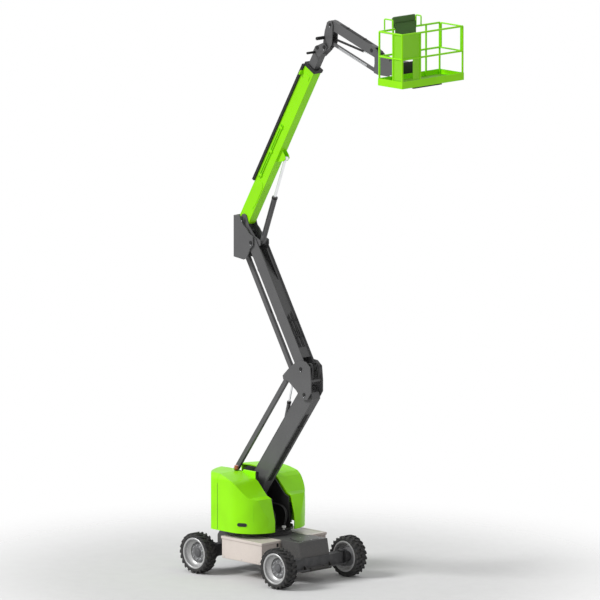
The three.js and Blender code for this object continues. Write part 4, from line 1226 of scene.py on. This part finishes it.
@dataclass
class Undercarriage(SubAssembly):
    """Chassis, axles, steering and the two battery boxes."""

    lid_edge: float = 0.012
    latch_size: float = 0.05

    def frame_parts(self) -> None:
        """Chassis, axles, knuckles and steering."""
        self.refine("chassis_frame", CHASSIS_GREY, 0.006)
        for node in ("front_axle", "rear_axle", "knuckle_left", "knuckle_right"):
            self.refine(node, CAST, 0.003)
        self.refine("steering_cylinder", BLACK, 0.002)
        self.refine("steering_rod", CAST, 0.0)
        self.refine("slew_bearing", BLACK, 0.002)
        self.nose()
        self.rear()

    def nose(self) -> None:
        """Tie-down lugs, cover plate, bolts and a cable on the chassis nose."""
        low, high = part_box("chassis_frame")
        front = high.x
        lugs = []
        for y in (low.y + 0.055, high.y - 0.055):
            lug = Bench.plate("tie_lug", [
                (-0.030, 0.03), (0.0, 0.03), (0.045, 0.055), (0.060, 0.085),
                (0.045, 0.115), (0.0, 0.14), (-0.030, 0.14),
            ], -0.009, 0.009, 0.002)
            lug.data.transform(Matrix.Translation((front - 0.012, y, low.z)))
            ring = Bench.turned("tie_ring", [
                (0.030 + 0.007 * math.cos(a), 0.007 * math.sin(a))
                for a in (2 * math.pi * k / 10 for k in range(10))
            ], 28)
            ring.data.transform(Matrix.Translation((front + 0.028, y, low.z + 0.062)))
            lugs += [lug, ring]
        self.fit(Bench.join(lugs), "chassis", BLACK)
        cover = Bench.block(
            "nose_cover", (high.x - 0.52, -0.26, high.z - 0.001), (high.x - 0.17, 0.26, high.z + 0.008),
            0.003
        )
        Bench.sunk(cover, (0, 0, 1), 0.03, -0.003, 0.008)
        self.fit(cover, "chassis", CHASSIS_GREY)
        spots = [(high.x - 0.505 + 0.32 * i, y, high.z + 0.007) for i in (0, 1) for y in (-0.24, 0.0, 0.24)]
        self.bolts("nose_bolts", spots, (0, 0, 1), "chassis", size=0.009)
        rail = Bench.pipe("nose_cable", [
            (high.x - 0.60, -0.20, high.z + 0.012), (high.x - 0.55, -0.19, high.z + 0.012),
            (high.x - 0.50, -0.285, high.z + 0.012), (high.x - 0.30, -0.30, high.z + 0.012),
            (high.x - 0.20, -0.31, high.z + 0.010), (high.x - 0.16, -0.33, high.z - 0.05),
        ], 0.008)
        self.fit(rail, "chassis", HOSE)

    def rear(self) -> None:
        """Drive motors with cooling fins on the rear axle."""
        low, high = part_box("rear_axle")
        middle = (low + high) / 2
        parts = []
        for side in (-1, 1):
            y = side * 0.52
            parts.append(
                Bench.rod(
                    "drive_motor", (middle.x, y, middle.z), (middle.x, y + side * 0.24, middle.z), 0.155,
                    40, 0.012
                )
            )
            fins = Bench.rod(
                "fin", (middle.x, y + side * 0.03, middle.z), (middle.x, y + side * 0.036, middle.z), 0.166,
                40, 0.001
            )
            parts.append(
                Bench.copies(fins, [Matrix.Translation((0, side * 0.026 * k, 0)) for k in range(7)])
            )
        self.fit(Bench.join(parts), "chassis", CAST)

    def battery(self, label: str) -> None:
        """One battery box with its lid, skirt, latch and bolts.

        Args:
            label: left or right.
        """
        low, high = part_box("battery_box_" + label)
        side = 1.0 if low.y > 0 else -1.0
        box = Bench.block("battery_box_body_" + label, low, high, 0.012, 3)
        self.fit(box, "chassis", BOX_WHITE, stands_for=["battery_box_" + label])
        low_lid, high_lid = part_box("battery_lid_" + label)
        lid = Bench.block("battery_lid_body_" + label, low_lid, high_lid, self.lid_edge, 3)
        Bench.sunk(lid, (0, 0, 1), 0.06, 0.004, 0.006)
        self.fit(lid, "chassis", BOX_WHITE, stands_for=["battery_lid_" + label])
        face = max(abs(low.y), abs(high.y)) * side
        skirt = Bench.block(
            "battery_skirt_" + label, (low.x + 0.02, face - 0.003, low.z + 0.02),
            (high.x - 0.02, face + side * 0.004, low.z + 0.055), 0.002
        )
        self.fit(skirt, "chassis", BOX_WHITE)
        size, y = self.latch_size, low.y + 0.12 if side > 0 else high.y - 0.12
        latch = Bench.join([
            Bench.block(
                "battery_latch_" + label, (high.x, y - size / 2, low_lid.z - 0.07),
                (high.x + 0.012, y + size / 2, low_lid.z - 0.006), 0.004
            ),
            Bench.block(
                "strap", (high.x + 0.003, y - size / 4, low_lid.z - 0.02),
                (high.x + 0.0125, y + size / 4, low_lid.z + 0.02), 0.003
            ),
        ])
        self.fit(latch, "chassis", BLACK)
        spots = [
            (x, face + side * 0.004, low.z + 0.037)
            for x in (low.x + 0.08, (low.x + high.x) / 2, high.x - 0.08)
        ]
        self.bolts("battery_bolts_" + label, spots, (0, side, 0), "chassis", size=0.008)

    def build(self) -> None:
        """Makes the undercarriage."""
        self.frame_parts()
        self.battery("left")
        self.battery("right")


# ------------------------------------------------------------------ turntable
@dataclass
class Turntable(SubAssembly):
    """Slewing frame, counterweight, power units, covers, hoods and beacon."""

    latch_width: float = 0.21
    latch_height: float = 0.075
    beacon_radius: float = 0.042
    cover_bevel: float = 0.012
    cover_smooth: float = 48.0
    ray_start: float = 3.0

    def latch(self, name: str) -> Piece:
        """An oval pull latch that faces -Y.

        Args:
            name: The piece's name.

        Returns:
            The latch, centred on the origin.
        """
        half, tall = self.latch_width / 2, self.latch_height / 2
        outline = []
        for end in (1.0, -1.0):
            for step in range(9):
                a = -math.pi / 2 + math.pi * step / 8
                outline.append((end * (half - tall + tall * math.cos(a)), end * tall * math.sin(a)))
        cup = Bench.plate(name, outline, -0.006, 0.004, 0.002)
        Bench.sunk(cup, (0, -1, 0), 0.006, 0.004, 0.003)
        grip = Bench.block(
            name + "_grip", (-half * 0.55, -0.009, -tall * 0.25), (half * 0.55, 0.0, tall * 0.45), 0.003
        )
        return Bench.join([cup, grip])

    def on_side(
        self, cover: Piece, side: float, x: float, z: float
    ) -> tuple[bool, Vector, Vector]:
        """Where a ray from outside meets a cover's side.

        Args:
            cover: The cover.
            side: 1 for the left side, -1 for the right.
            x: Place along the machine.
            z: Height.

        Returns:
            Whether it meets the cover, the point and the normal there.
        """
        return cover.ray_cast(Vector((x, self.ray_start * side, z)), Vector((0.0, -side, 0.0)))[:3]

    def hood(self, label: str) -> None:
        """One side hood with its latch and the crease in its side.

        Args:
            label: left or right.
        """
        body = "hood_" + label
        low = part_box(body)[0]
        side = 1.0 if low.y > 0 else -1.0
        cover = self.refine(body, LIME_COVER, self.cover_bevel, 3, self.cover_smooth)
        _, spot, normal = self.on_side(cover, side, low.x + 0.655, low.z + 0.185)
        latch = self.latch("hood_latch_" + label)
        turn = normal.to_track_quat("Y", "Z").to_matrix().to_4x4() @ Matrix.Rotation(math.pi, 4, "Z")
        latch.data.transform(Matrix.Translation(spot) @ turn)
        self.fit(latch, body, PLASTIC_BLACK)
        x, z = low.x + 0.84, low.z + 0.775
        run = [(x - 0.27 + 0.09 * k, z) for k in range(3)]
        fall = [(x, z - 0.03 - 0.10 * k) for k in range(6)]
        points = [self.on_side(cover, side, *point)[1] for point in run + fall]
        crease = Bench.pipe("hood_crease_" + label, [p for p in points if abs(p.y) > 0.2], 0.0045)
        self.fit(crease, body, LIME_COVER)

    def tail(self, label: str) -> None:
        """One tail cover with the rubber seal at its seam to the hood.

        Args:
            label: left or right.
        """
        node = "tail_cover_" + label
        cover = self.refine(node, LIME_COVER, self.cover_bevel, 3, self.cover_smooth)
        low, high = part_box(node)
        side = 1.0 if low.y > 0 else -1.0
        points = []
        for step in range(12):
            z = low.z + 0.02 + step * (high.z - low.z - 0.10) / 11
            hit, spot, _ = self.on_side(cover, side, high.x - 0.006, z)
            if hit:
                points.append(spot - Vector((0.0, side * 0.003, 0.0)))
        seal = Bench.pipe("seam_seal_" + label, points, 0.0055)
        self.fit(seal, "turntable", HOSE)

    def frame_parts(self) -> None:
        """Slewing frame, counterweight and the blocks under the hoods."""
        self.refine("turntable_frame", BLACK, 0.004)
        self.refine("counterweight", CAST, 0.015, 3)
        for node, finish in (("hydraulic_unit", GREY), ("drive_controller", PLASTIC_BLACK)):
            low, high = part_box(node)
            unit = Bench.block(node + "_body", low, high, 0.02, 3)
            Bench.sunk(unit, (0, 0, 1), 0.05, 0.01, 0.01)
            self.fit(unit, "turntable", finish, stands_for=[node])
        low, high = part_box("hydraulic_unit")
        middle = (low + high) / 2
        parts = [
            Bench.rod(
                "pump_motor", (low.x + 0.14, middle.y, high.z), (low.x + 0.14, middle.y, high.z + 0.16),
                0.075, 32, 0.006
            ),
            Bench.rod(
                "filler_cap", (high.x - 0.12, middle.y + 0.08, high.z - 0.004),
                (high.x - 0.12, middle.y + 0.08, high.z + 0.045), 0.035, 24, 0.004
            ),
            Bench.block(
                "valve_block", (high.x - 0.20, middle.y - 0.12, high.z - 0.004),
                (high.x - 0.08, middle.y, high.z + 0.09), 0.006
            ),
        ]
        self.fit(Bench.join(parts), "turntable", BLACK)

    def channel(self) -> None:
        """Hoses, lock knob and foot pin in the open channel between the hoods."""
        foot = PINS["tower_lift"]
        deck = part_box("slew_bearing")[1].z + 0.045
        front = PINS["slew"].x + 0.27
        for index, y in enumerate((-0.190, -0.155, 0.155, 0.190)):
            hose = Bench.pipe(f"channel_hose_{index}", [
                (front - 0.10, y * 0.8, deck), (front - 0.08, y * 0.85, deck + 0.10),
                (front - 0.02, y, deck + 0.26),
                (front - 0.14, y, deck + 0.48), (foot.x + 0.16, y, foot.z - 0.30),
                (foot.x - 0.02, y, foot.z - 0.17),
                (foot.x - 0.18, y, foot.z - 0.20), (foot.x - 0.24, y, foot.z - 0.34),
                (foot.x - 0.25, y, deck + 0.06),
            ], 0.011)
            self.fit(hose, "turntable", HOSE)
        knob = Bench.join([
            Bench.rod(
                "lock_knob", (front + 0.045, 0.0, deck - 0.004), (front + 0.045, 0.0, deck + 0.035), 0.022,
                20, 0.003
            ),
            Bench.rod(
                "lock_head", (front + 0.045, 0.0, deck + 0.030), (front + 0.045, 0.0, deck + 0.075), 0.046,
                28, 0.012
            ),
        ])
        self.fit(knob, "turntable", WHITE_CAP)
        self.pin_caps("foot_pin", foot, 0.251, 0.045, "turntable")

    def beacon(self) -> None:
        """The flashing beacon on the right tail cover."""
        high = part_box("tail_cover_right")[1]
        spot = Vector((high.x - 0.035, -0.38, high.z - 0.004))
        radius = self.beacon_radius
        base = Bench.rod("beacon_base", spot, spot + Vector((0, 0, 0.014)), radius * 1.08, 32, 0.003)
        self.fit(base, "turntable", PLASTIC_BLACK)
        dome = Bench.rod(
            "beacon_dome", spot + Vector((0, 0, 0.013)), spot + Vector((0, 0, 0.105)), radius, 36, 0.014
        )
        self.fit(dome, "turntable", BEACON)

    def build(self) -> None:
        """Makes the turntable."""
        self.frame_parts()
        for label in ("left", "right"):
            self.hood(label)
            self.tail(label)
        self.channel()
        self.beacon()


# ------------------------------------------------------------------ tower
@dataclass
class Tower(SubAssembly):
    """Lower arm, its link, the middle bracket, upper arm, upper link and the head."""

    lower_half: float = 0.11
    lower_depth: float = 0.20
    upper_depth: float = 0.135
    web_half: float = 0.134
    web_end: float = 2.66
    slot_start: float = 1.95
    slot_half: float = 0.080
    bracket_face: float = 0.178
    head_face: float = 0.186
    pin_radius: float = 0.035

    @property
    def lower(self) -> Place:
        """The lower arm's own frame."""
        return Place.between(PINS["tower_lift"], PINS["mid_bracket_pivot"])

    @property
    def upper(self) -> Place:
        """The upper arm's own frame; its Z points back."""
        return Place.between(PINS["upper_arm_pivot"], PINS["tower_head_pivot"])

    def hose_run(
        self, name: str, body: str, place: Place, points: Sequence[tuple[float, float]], ys: Sequence[float]
    ) -> None:
        """Hoses side by side along a line in the side view.

        Args:
            name: The pieces' name.
            body: The body they ride on.
            place: The frame of the points.
            points: X and Z along the run.
            ys: One Y for each hose.
        """
        hoses = [Bench.pipe(name, [(x, y, z) for x, z in points], 0.010) for y in ys]
        self.fit(Bench.join(hoses), body, HOSE, place)

    def lower_arm(self) -> None:
        """The lower arm with hoses, their clamps and weld seams."""
        self.refine("lower_arm", GREY, 0.004)
        low = -self.lower_depth
        self.hose_run("lower_arm_hoses", "lower_arm", self.lower, [
            (0.42, low + 0.004), (0.50, low - 0.012), (0.9, low - 0.012), (1.5, low - 0.012),
            (2.2, low - 0.012), (2.32, low + 0.004),
        ], (-0.055, -0.030, -0.005, 0.020))
        clamps = [
            Bench.block("hose_clamp", (x, -0.075, low - 0.026), (x + 0.035, 0.040, low + 0.002), 0.003)
            for x in (0.75, 1.35, 1.95)
        ]
        self.fit(Bench.join(clamps), "lower_arm", BLACK, self.lower)
        seams = []
        for y in (-self.lower_half, self.lower_half):
            for z in (-self.lower_depth + 0.014, self.lower_depth - 0.014):
                seams.append(
                    Bench.rod("weld_seam", (0.30, y * 0.999, z), (2.30, y * 0.999, z), 0.004, 8, 0.001)
                )
        self.fit(Bench.join(seams), "lower_arm", GREY, self.lower)

    def upper_arm(self) -> None:
        """The upper arm with its slotted front web, hoses, straps and back pads."""
        self.refine("upper_arm", GREY, 0.004)
        wall = -self.upper_depth + 0.035
        slot, end, half, ram = self.slot_start, self.web_end, self.web_half, self.slot_half
        fields = ((0.20, slot, -half, half), (slot, end, -half, -ram), (slot, end, ram, half))
        web = [
            Bench.block("upper_arm_web", (x0, y0, wall), (x1, y1, wall + 0.008), 0.002)
            for x0, x1, y0, y1 in fields
        ]
        slope = [(1.93, wall + 0.0085), (end, 0.055), (end, 0.063), (1.93, wall + 0.0165)]
        web.append(Bench.plate("slot_floor", slope, -ram - 0.004, ram + 0.004, 0.0))
        self.fit(Bench.join(web), "upper_arm", GREY, self.upper)
        for index, y in enumerate((-0.100, -0.068, -0.030, 0.030, 0.068)):
            sway = 0.018 if index % 2 else -0.014
            hose = Bench.pipe(f"upper_arm_hose_{index}", [
                (0.43, y, wall), (0.50, y, wall - 0.013), (0.60, y + sway, wall - 0.013),
                (0.74, y - sway, wall - 0.013),
                (0.90, y + sway, wall - 0.013), (1.05 + 0.03 * index, y, wall - 0.013),
                (1.11 + 0.03 * index, y, wall + 0.002),
            ], 0.012)
            self.fit(hose, "upper_arm", HOSE, self.upper)
        straps = [
            Bench.block("hose_strap", (x, -0.130, wall - 0.030), (x + 0.03, 0.130, wall + 0.001), 0.004)
            for x in (0.66, 1.02)
        ]
        self.fit(Bench.join(straps), "upper_arm", BLACK, self.upper)
        pads = []
        for x in (1.17, 2.30):
            for y in (-0.115, 0.115):
                low = (x - 0.03, y - 0.026, self.upper_depth - 0.002)
                high = (x + 0.03, y + 0.026, self.upper_depth + 0.018)
                pads.append(Bench.block("arm_pad", low, high, 0.004))
        self.fit(Bench.join(pads), "upper_arm", BLACK, self.upper)

    def bracket(self) -> None:
        """The middle bracket with its hose loops."""
        self.refine("mid_bracket", GREY, 0.004)
        pin = PINS["upper_arm_pivot"]
        for index, y in enumerate((-0.110, -0.080, 0.080, 0.110)):
            reach = 0.02 * (index % 2)
            loop = Bench.pipe(f"bracket_hose_{index}", [
                (pin.x + 0.243, y, pin.z - 0.235), (pin.x + 0.255, y, pin.z - 0.10),
                (pin.x + 0.285 - reach, y, pin.z + 0.03),
                (pin.x + 0.26 - reach, y, pin.z + 0.13), (pin.x + 0.17, y, pin.z + 0.135 - reach),
                (pin.x + 0.13, y, pin.z + 0.08),
            ], 0.015)
            self.fit(loop, "mid_bracket", HOSE)

    def pins(self) -> None:
        """Pivot pins' caps."""
        self.pin_caps(
            "mid_pin", PINS["mid_bracket_pivot"], self.bracket_face, self.pin_radius, "mid_bracket"
        )
        self.pin_caps(
            "upper_pin", PINS["upper_arm_pivot"], self.bracket_face, self.pin_radius, "mid_bracket"
        )
        self.pin_caps("head_pin", PINS["tower_head_pivot"], self.head_face, self.pin_radius, "tower_head")

    def build(self) -> None:
        """Makes the tower."""
        self.lower_arm()
        self.upper_arm()
        self.bracket()
        self.refine("lower_link", GREY, 0.003)
        self.refine("upper_link", GREY, 0.003)
        self.refine("tower_head", GREY, 0.005)
        self.pins()


@dataclass
class Rams(SubAssembly):
    """The three hydraulic cylinders, with glands on the two larger ones and the lift cylinder's pipe."""

    riser_radius: float = 0.042
    riser_barrel: float = 0.935
    lift_radius: float = 0.058
    lift_barrel: float = 1.06

    def gland(self, label: str, radius: float, length: float) -> None:
        """The gland at the end of one barrel.

        Args:
            label: riser or lift.
            radius: Outer radius of the barrel.
            length: From the foot's pin to the barrel's end.
        """
        inner, outer = radius - 0.004, radius + 0.0045
        ring = Bench.turned("gland", [(inner, 0.0), (outer, 0.002), (outer, 0.042), (inner, 0.044)], 40)
        ring.data.transform(
            Matrix.Translation((length - 0.052, 0, 0)) @ Matrix.Rotation(-math.pi / 2, 4, "Z")
        )
        self.fit(ring, f"{label}_barrel", BLACK, self.axis(label))

    def axis(self, label: str) -> Place:
        """The frame of one cylinder, X from its foot to its rod's eye.

        Args:
            label: riser, lift or jib.

        Returns:
            The frame.
        """
        return Place.along(f"{label}_barrel_pivot", f"{label}_rod_slide")

    def port_line(self) -> None:
        """The pipe along the lift cylinder's right side."""
        port, off, end = 0.003 - self.lift_radius, -self.lift_radius - 0.009, self.lift_barrel
        line = Bench.pipe("lift_line", [
            (0.16, port, 0), (0.17, off, 0), (0.24, off, 0), (end - 0.14, off, 0), (end - 0.085, off, 0),
            (end - 0.075, port, 0),
        ], 0.0055, False)
        self.fit(line, "lift_barrel", GREY, self.axis("lift"))

    def build(self) -> None:
        """Makes the cylinders."""
        for label, finish in (("riser", GREY), ("lift", GREY), ("jib", BLACK)):
            self.refine(f"{label}_cylinder_barrel", finish, 0.0)
            self.refine(f"{label}_cylinder_rod", CHROME, 0.0)
        self.gland("riser", self.riser_radius, self.riser_barrel)
        self.gland("lift", self.lift_radius, self.lift_barrel)
        self.port_line()


# ------------------------------------------------------------------ telescopic boom and jib
@dataclass
class TelescopicBoom(SubAssembly):
    """Main boom with its collar and cable tray, and the fly boom."""

    half_width: float = 0.105
    depth: float = 0.15
    fly_half: float = 0.08
    tube_radius: float = 0.012
    tube_levels: tuple[float, ...] = (0.085, 0.040)
    clamp_spots: tuple[float, ...] = (1.05, 1.66, 2.27)
    guide_x: float = 4.25
    guide_z: float = 0.046
    disc_x: float = 4.375
    disc_z: float = 0.035

    @property
    def frame(self) -> Place:
        """The boom's own frame."""
        return Place.along("boom_lift", "telescope")

    def main_boom(self) -> None:
        """Main boom with its foot plates, side tubes, clamps, end bands and tray lug."""
        self.refine("main_boom", LIME, 0.005, 3)
        self.refine("boom_collar", BLACK, 0.004)
        self.refine("cable_tray", BLACK, 0.003)
        side = -self.half_width
        half = [(0.30, 0.10), (0.44, 0.125), (0.85, 0.125), (0.95, 0.07)]
        outline = [(0.30, -0.10), *half, *((x, -z) for x, z in half[:0:-1])]
        for name, turn in (("boom_doubler", 1), ("boom_doubler_far", -1)):
            plate = Bench.plate(name, outline, turn * (side + 0.001), turn * (side - 0.008), 0.003)
            self.fit(plate, "main_boom", LIME, self.frame)
        off = side - 0.013
        tubes = [
            Bench.pipe(
                "boom_tubes", [(x, off, z) for x in (1.00, 1.10, 2.25, 2.36)], self.tube_radius, False
            )
            for z in self.tube_levels
        ]
        clamps = [
            Bench.block("tube_clamp", (x, side - 0.028, 0.018), (x + 0.05, side + 0.002, 0.107), 0.004)
            for x in self.clamp_spots
        ]
        self.fit(Bench.join(tubes + clamps), "main_boom", LIME, self.frame)
        bands = [
            Bench.block("boom_band", (3.60, y0, -0.100), (3.72, y1, 0.100), 0.004)
            for y0, y1 in ((side - 0.010, side + 0.002), (-side - 0.002, -side + 0.010))
        ]
        self.fit(Bench.join(bands), "main_boom", LIME, self.frame)
        lug = Bench.block(
            "tray_lug", (3.61, side - 0.070, 0.130), (3.71, side + 0.03, self.depth + 0.012), 0.005
        )
        self.fit(lug, "main_boom", LIME, self.frame)

    def fly(self) -> None:
        """The fly boom with its cable guide, end disc and pin."""
        self.refine("fly_boom", GREY, 0.003)
        self.pin_caps("jib_base_pin", PINS["jib_base_level"], 0.108, 0.034, "fly_boom")
        guide = Bench.join([
            Bench.rod(
                "fly_guide", (self.guide_x, -self.fly_half, self.guide_z),
                (self.guide_x, -0.33, self.guide_z), 0.026, 24, 0.006
            ),
            Bench.rod(
                "fly_disc", (self.disc_x, -0.108, self.disc_z), (self.disc_x, -0.114, self.disc_z), 0.045,
                28, 0.001
            ),
        ])
        self.fit(guide, "fly_boom", BLACK, self.frame)

    def build(self) -> None:
        """Makes the boom."""
        self.main_boom()
        self.fly()
        self.pin_caps("boom_pin", PINS["boom_lift"], 0.186, 0.035, "tower_head")


@dataclass
class Jib(SubAssembly):
    """Jib base, arm, link and the platform's support and mount."""

    half_width: float = 0.060
    depth: float = 0.10
    guide_x: float = 0.045
    guide_z: float = 11.44

    def build(self) -> None:
        """Makes the jib."""
        for node in ("jib_base", "jib_arm", "jib_link", "platform_support", "platform_mount"):
            self.refine(node, GREY if node != "platform_mount" else BLACK, 0.003)
        start, end = PINS["jib_lift"], PINS["platform_level"]
        arm = Place.between(start, end)
        arm_length = (end - start).length
        hoses = [
            Bench.pipe("jib_hoses", [
                (0.22, y, self.depth - 0.004), (0.30, y, self.depth + 0.010), (0.70, y, self.depth + 0.010),
                (1.10, y, self.depth + 0.010),
                (1.18, y, self.depth - 0.004),
            ], 0.009)
            for y in (-0.030, -0.008, 0.014)
        ]
        self.fit(Bench.join(hoses), "jib_arm", HOSE, arm)
        clamps = [
            Bench.block(
                "jib_clamp", (x, -0.045, self.depth - 0.002), (x + 0.03, 0.03, self.depth + 0.024), 0.003
            )
            for x in (0.42, 0.95)
        ]
        self.fit(Bench.join(clamps), "jib_arm", BLACK, arm)
        self.pin_caps("jib_foot_pin", PINS["jib_lift"], 0.084, 0.030, "jib_base")
        guide = Bench.rod(
            "jib_guide", (self.guide_x, -0.083, self.guide_z), (self.guide_x, -0.29, self.guide_z), 0.036,
            28, 0.006
        )
        self.fit(guide, "jib_base", BLACK)
        disc_x, face = arm_length - 0.16, self.half_width
        discs = [
            Bench.rod(
                "jib_end_disc", (disc_x, side * face, 0), (disc_x, side * (face + 0.004), 0), 0.042, 28,
                0.001
            )
            for side in (-1.0, 1.0)
        ]
        self.fit(Bench.join(discs), "jib_arm", BLACK, arm)
        foot = PINS["jib_link_pivot"]
        link = Place.between(foot, foot + (end - start))
        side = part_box("jib_link")[0].y
        line = [
            Bench.pipe("jib_link_line", [
                (0.24, side + 0.002, z), (0.27, side - 0.008, z), (0.40, side - 0.008, z),
                (arm_length - 0.40, side - 0.008, z),
                (arm_length - 0.33, side - 0.008, z), (arm_length - 0.30, side + 0.002, z),
            ], 0.0085, False)
            for z in (0.012, -0.014)
        ]
        self.fit(Bench.join(line), "jib_link", ZINC, link)


# ------------------------------------------------------------------ basket
@dataclass
class Basket(SubAssembly):
    """Basket frame, floor, panels, gate and control console."""

    low: Vector = Vector((2.456, -0.88, 10.819))
    high: Vector = Vector((3.166, 0.88, 11.949))
    mid: float = 11.4185
    toe: float = 10.969
    deck: float = 10.869
    hoop_top: float = 12.165
    skirt_x: float = 2.480
    skirt_low: float = 11.765

    def shell(self) -> None:
        """Frame, gate, panels and floor."""
        for node, finish in (
            ("basket_frame", LIME), ("basket_gate", LIME), ("basket_panel_front", LIME_SHEET),
            ("basket_panel_side", LIME_SHEET)
        ):
            self.dress(node, finish)
        self.dress("basket_floor", LIME)
        # The deck plate's dark green is painted shade of the lime floor.
        plate = Bench.block(
            "deck_plate", (self.low.x + 0.035, self.low.y + 0.035, self.deck + 0.0005),
            (self.high.x - 0.035, self.high.y - 0.035, self.deck + 0.005), 0.0
        )
        self.fit(plate, "platform", DECK)
        front = Bench.block(
            "lower_sheet_front", (self.high.x - 0.024, -0.56, self.toe + 0.001),
            (self.high.x - 0.018, -0.371, self.mid - 0.021), 0.001
        )
        self.fit(front, "platform", LIME_SHEET)
        side = Bench.block(
            "lower_sheet_side", (2.907, self.low.y + 0.018, self.toe + 0.001),
            (3.123, self.low.y + 0.024, self.mid - 0.021), 0.001
        )
        self.fit(side, "platform", LIME_SHEET)

    def console(self) -> None:
        """The control console with its skirt, knobs and guard hoops."""
        low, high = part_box("control_console")
        self.refine("control_console", CONSOLE, 0.006)
        face = high.z
        middle = (low + high) / 2
        spots = [(low.x + 0.05, middle.y + s * 0.16) for s in (-1.0, -0.4, 0.4, 1.0)]
        skirt = Bench.block(
            "console_skirt", (self.skirt_x, middle.y - 0.29, self.skirt_low),
            (self.skirt_x + 0.025, middle.y + 0.29, low.z + 0.10), 0.004
        )
        Bench.sunk(skirt, (1, 0, 0), 0.012, 0.004, 0.004)
        self.fit(skirt, "platform", CONSOLE)
        for name, y, x0, x1, top in (
            ("hoop_left", -0.60, 2.36, 2.60, self.hoop_top),
            ("hoop_right", 0.235, 2.42, 2.57, self.hoop_top)
        ):
            hoop = Bench.pipe(
                name,
                [
                    (x0, y, self.high.z - 0.02), (x0, y, top - 0.016), (x1, y, top - 0.016),
                    (x1, y, self.high.z - 0.02)
                ],
                0.0155, False
            )
            self.fit(hoop, "platform", LIME)
        knobs = [
            Bench.rod("knob", (x, y, face - 0.012), (x, y, face - 0.002), 0.014, 16, 0.002) for x,
            y in spots
        ]
        self.fit(Bench.join(knobs), "platform", PLASTIC_BLACK)

    def build(self) -> None:
        """Makes the basket."""
        self.shell()
        self.console()


# ------------------------------------------------------------------ studio
@dataclass(frozen=True)
class Studio:
    """Pale floor, soft light, white surroundings and the camera of the photo."""

    target: tuple[float, float, float] = (-0.7454, 0.0, 5.864)
    azimuth: float = 46.05
    elevation: float = 10.0
    distance: float = 343.4
    lens: float = 1000.0
    floor_radius: float = 14.0
    clear_from: float = 3.6
    clear_to: float = 9.0
    sun_way: tuple[float, float, float] = (-0.55, -1.0, 0.95)
    sun_strength: float = 2.1
    sun_angle: float = 20.0
    sky: float = 0.52

    def floor(self) -> None:
        """The floor disc, which fades out round the machine."""
        Bench.clear()
        bpy.ops.mesh.primitive_circle_add(
            vertices=96, radius=self.floor_radius, fill_type="NGON", location=(-1.2, 0, -0.001)
        )
        disc = Bench.settle("floor")
        graph = Graph("studio_floor")
        x, y, _ = graph.axes()
        square = (x + 1.2) * (x + 1.2) + y * y
        away = square.maths("SQRT", square)
        fade = 1.0 - away.band(self.clear_from, self.clear_to)
        grain = graph.noise(3.0, 3.0)
        tint = graph.mix(grain, (0.70, 0.70, 0.70, 1.0), (0.76, 0.76, 0.76, 1.0))
        disc.data.materials.append(graph.close(Base_Color=tint, Roughness=0.85, Alpha=fade))

    def light(self) -> None:
        """A broad soft sun and an even sky."""
        data = bpy.data.lights.new("key", "SUN")
        data.energy, data.angle = self.sun_strength, math.radians(self.sun_angle)
        lamp = bpy.data.objects.new("key", data)
        bpy.context.scene.collection.objects.link(lamp)
        lamp.rotation_mode = "QUATERNION"
        lamp.rotation_quaternion = Vector(self.sun_way).to_track_quat("Z", "Y")
        world = bpy.data.worlds.new("studio")
        bpy.context.scene.world = world
        world.use_nodes = True
        tree = world.node_tree
        tree.nodes.clear()
        out = tree.nodes.new("ShaderNodeOutputWorld")
        back = tree.nodes.new("ShaderNodeBackground")
        path = tree.nodes.new("ShaderNodeLightPath")
        tree.links.new(back.outputs[0], out.inputs[0])
        total = path.outputs["Is Camera Ray"]
        for name in ("Is Glossy Ray", "Is Transmission Ray"):
            add = tree.nodes.new("ShaderNodeMath")
            add.operation, add.use_clamp = "ADD", True
            tree.links.new(total, add.inputs[0])
            tree.links.new(path.outputs[name], add.inputs[1])
            total = add.outputs[0]
        scale = tree.nodes.new("ShaderNodeMath")
        scale.operation = "MULTIPLY_ADD"
        scale.inputs[1].default_value, scale.inputs[2].default_value = 1.0 - self.sky, self.sky
        tree.links.new(total, scale.inputs[0])
        tree.links.new(scale.outputs[0], back.inputs["Strength"])
        back.inputs["Color"].default_value = (1.0, 1.0, 1.0, 1.0)

    def camera(self) -> None:
        """The camera far away with a long lens, as in the photo."""
        data = bpy.data.cameras.new("camera")
        data.type, data.lens, data.sensor_width = "PERSP", self.lens, 36.0
        data.clip_start, data.clip_end = 100.0, 800.0
        eye = bpy.data.objects.new("camera", data)
        bpy.context.scene.collection.objects.link(eye)
        a, e = math.radians(self.azimuth), math.radians(self.elevation)
        back = Vector((math.sin(a) * math.cos(e), -math.cos(a) * math.cos(e), math.sin(e)))
        eye.location = Vector(self.target) + back * self.distance
        eye.rotation_euler = back.to_track_quat("Z", "Y").to_euler()
        bpy.context.scene.camera = eye

    def build(self) -> None:
        """Sets the stage."""
        self.floor()
        self.light()
        self.camera()
        bpy.context.scene.view_settings.view_transform = "Standard"


def main() -> None:
    """Builds every sub-assembly and the studio, and logs the pieces made."""
    logging.basicConfig(level=logging.INFO, format="%(name)s %(message)s")
    for group in (
        Wheels(), Undercarriage(), Turntable(), Tower(), Rams(), TelescopicBoom(), Jib(), Basket()
    ):
        group.build()
        group.report()
    Studio().build()


if __name__ == "__main__":
    main()
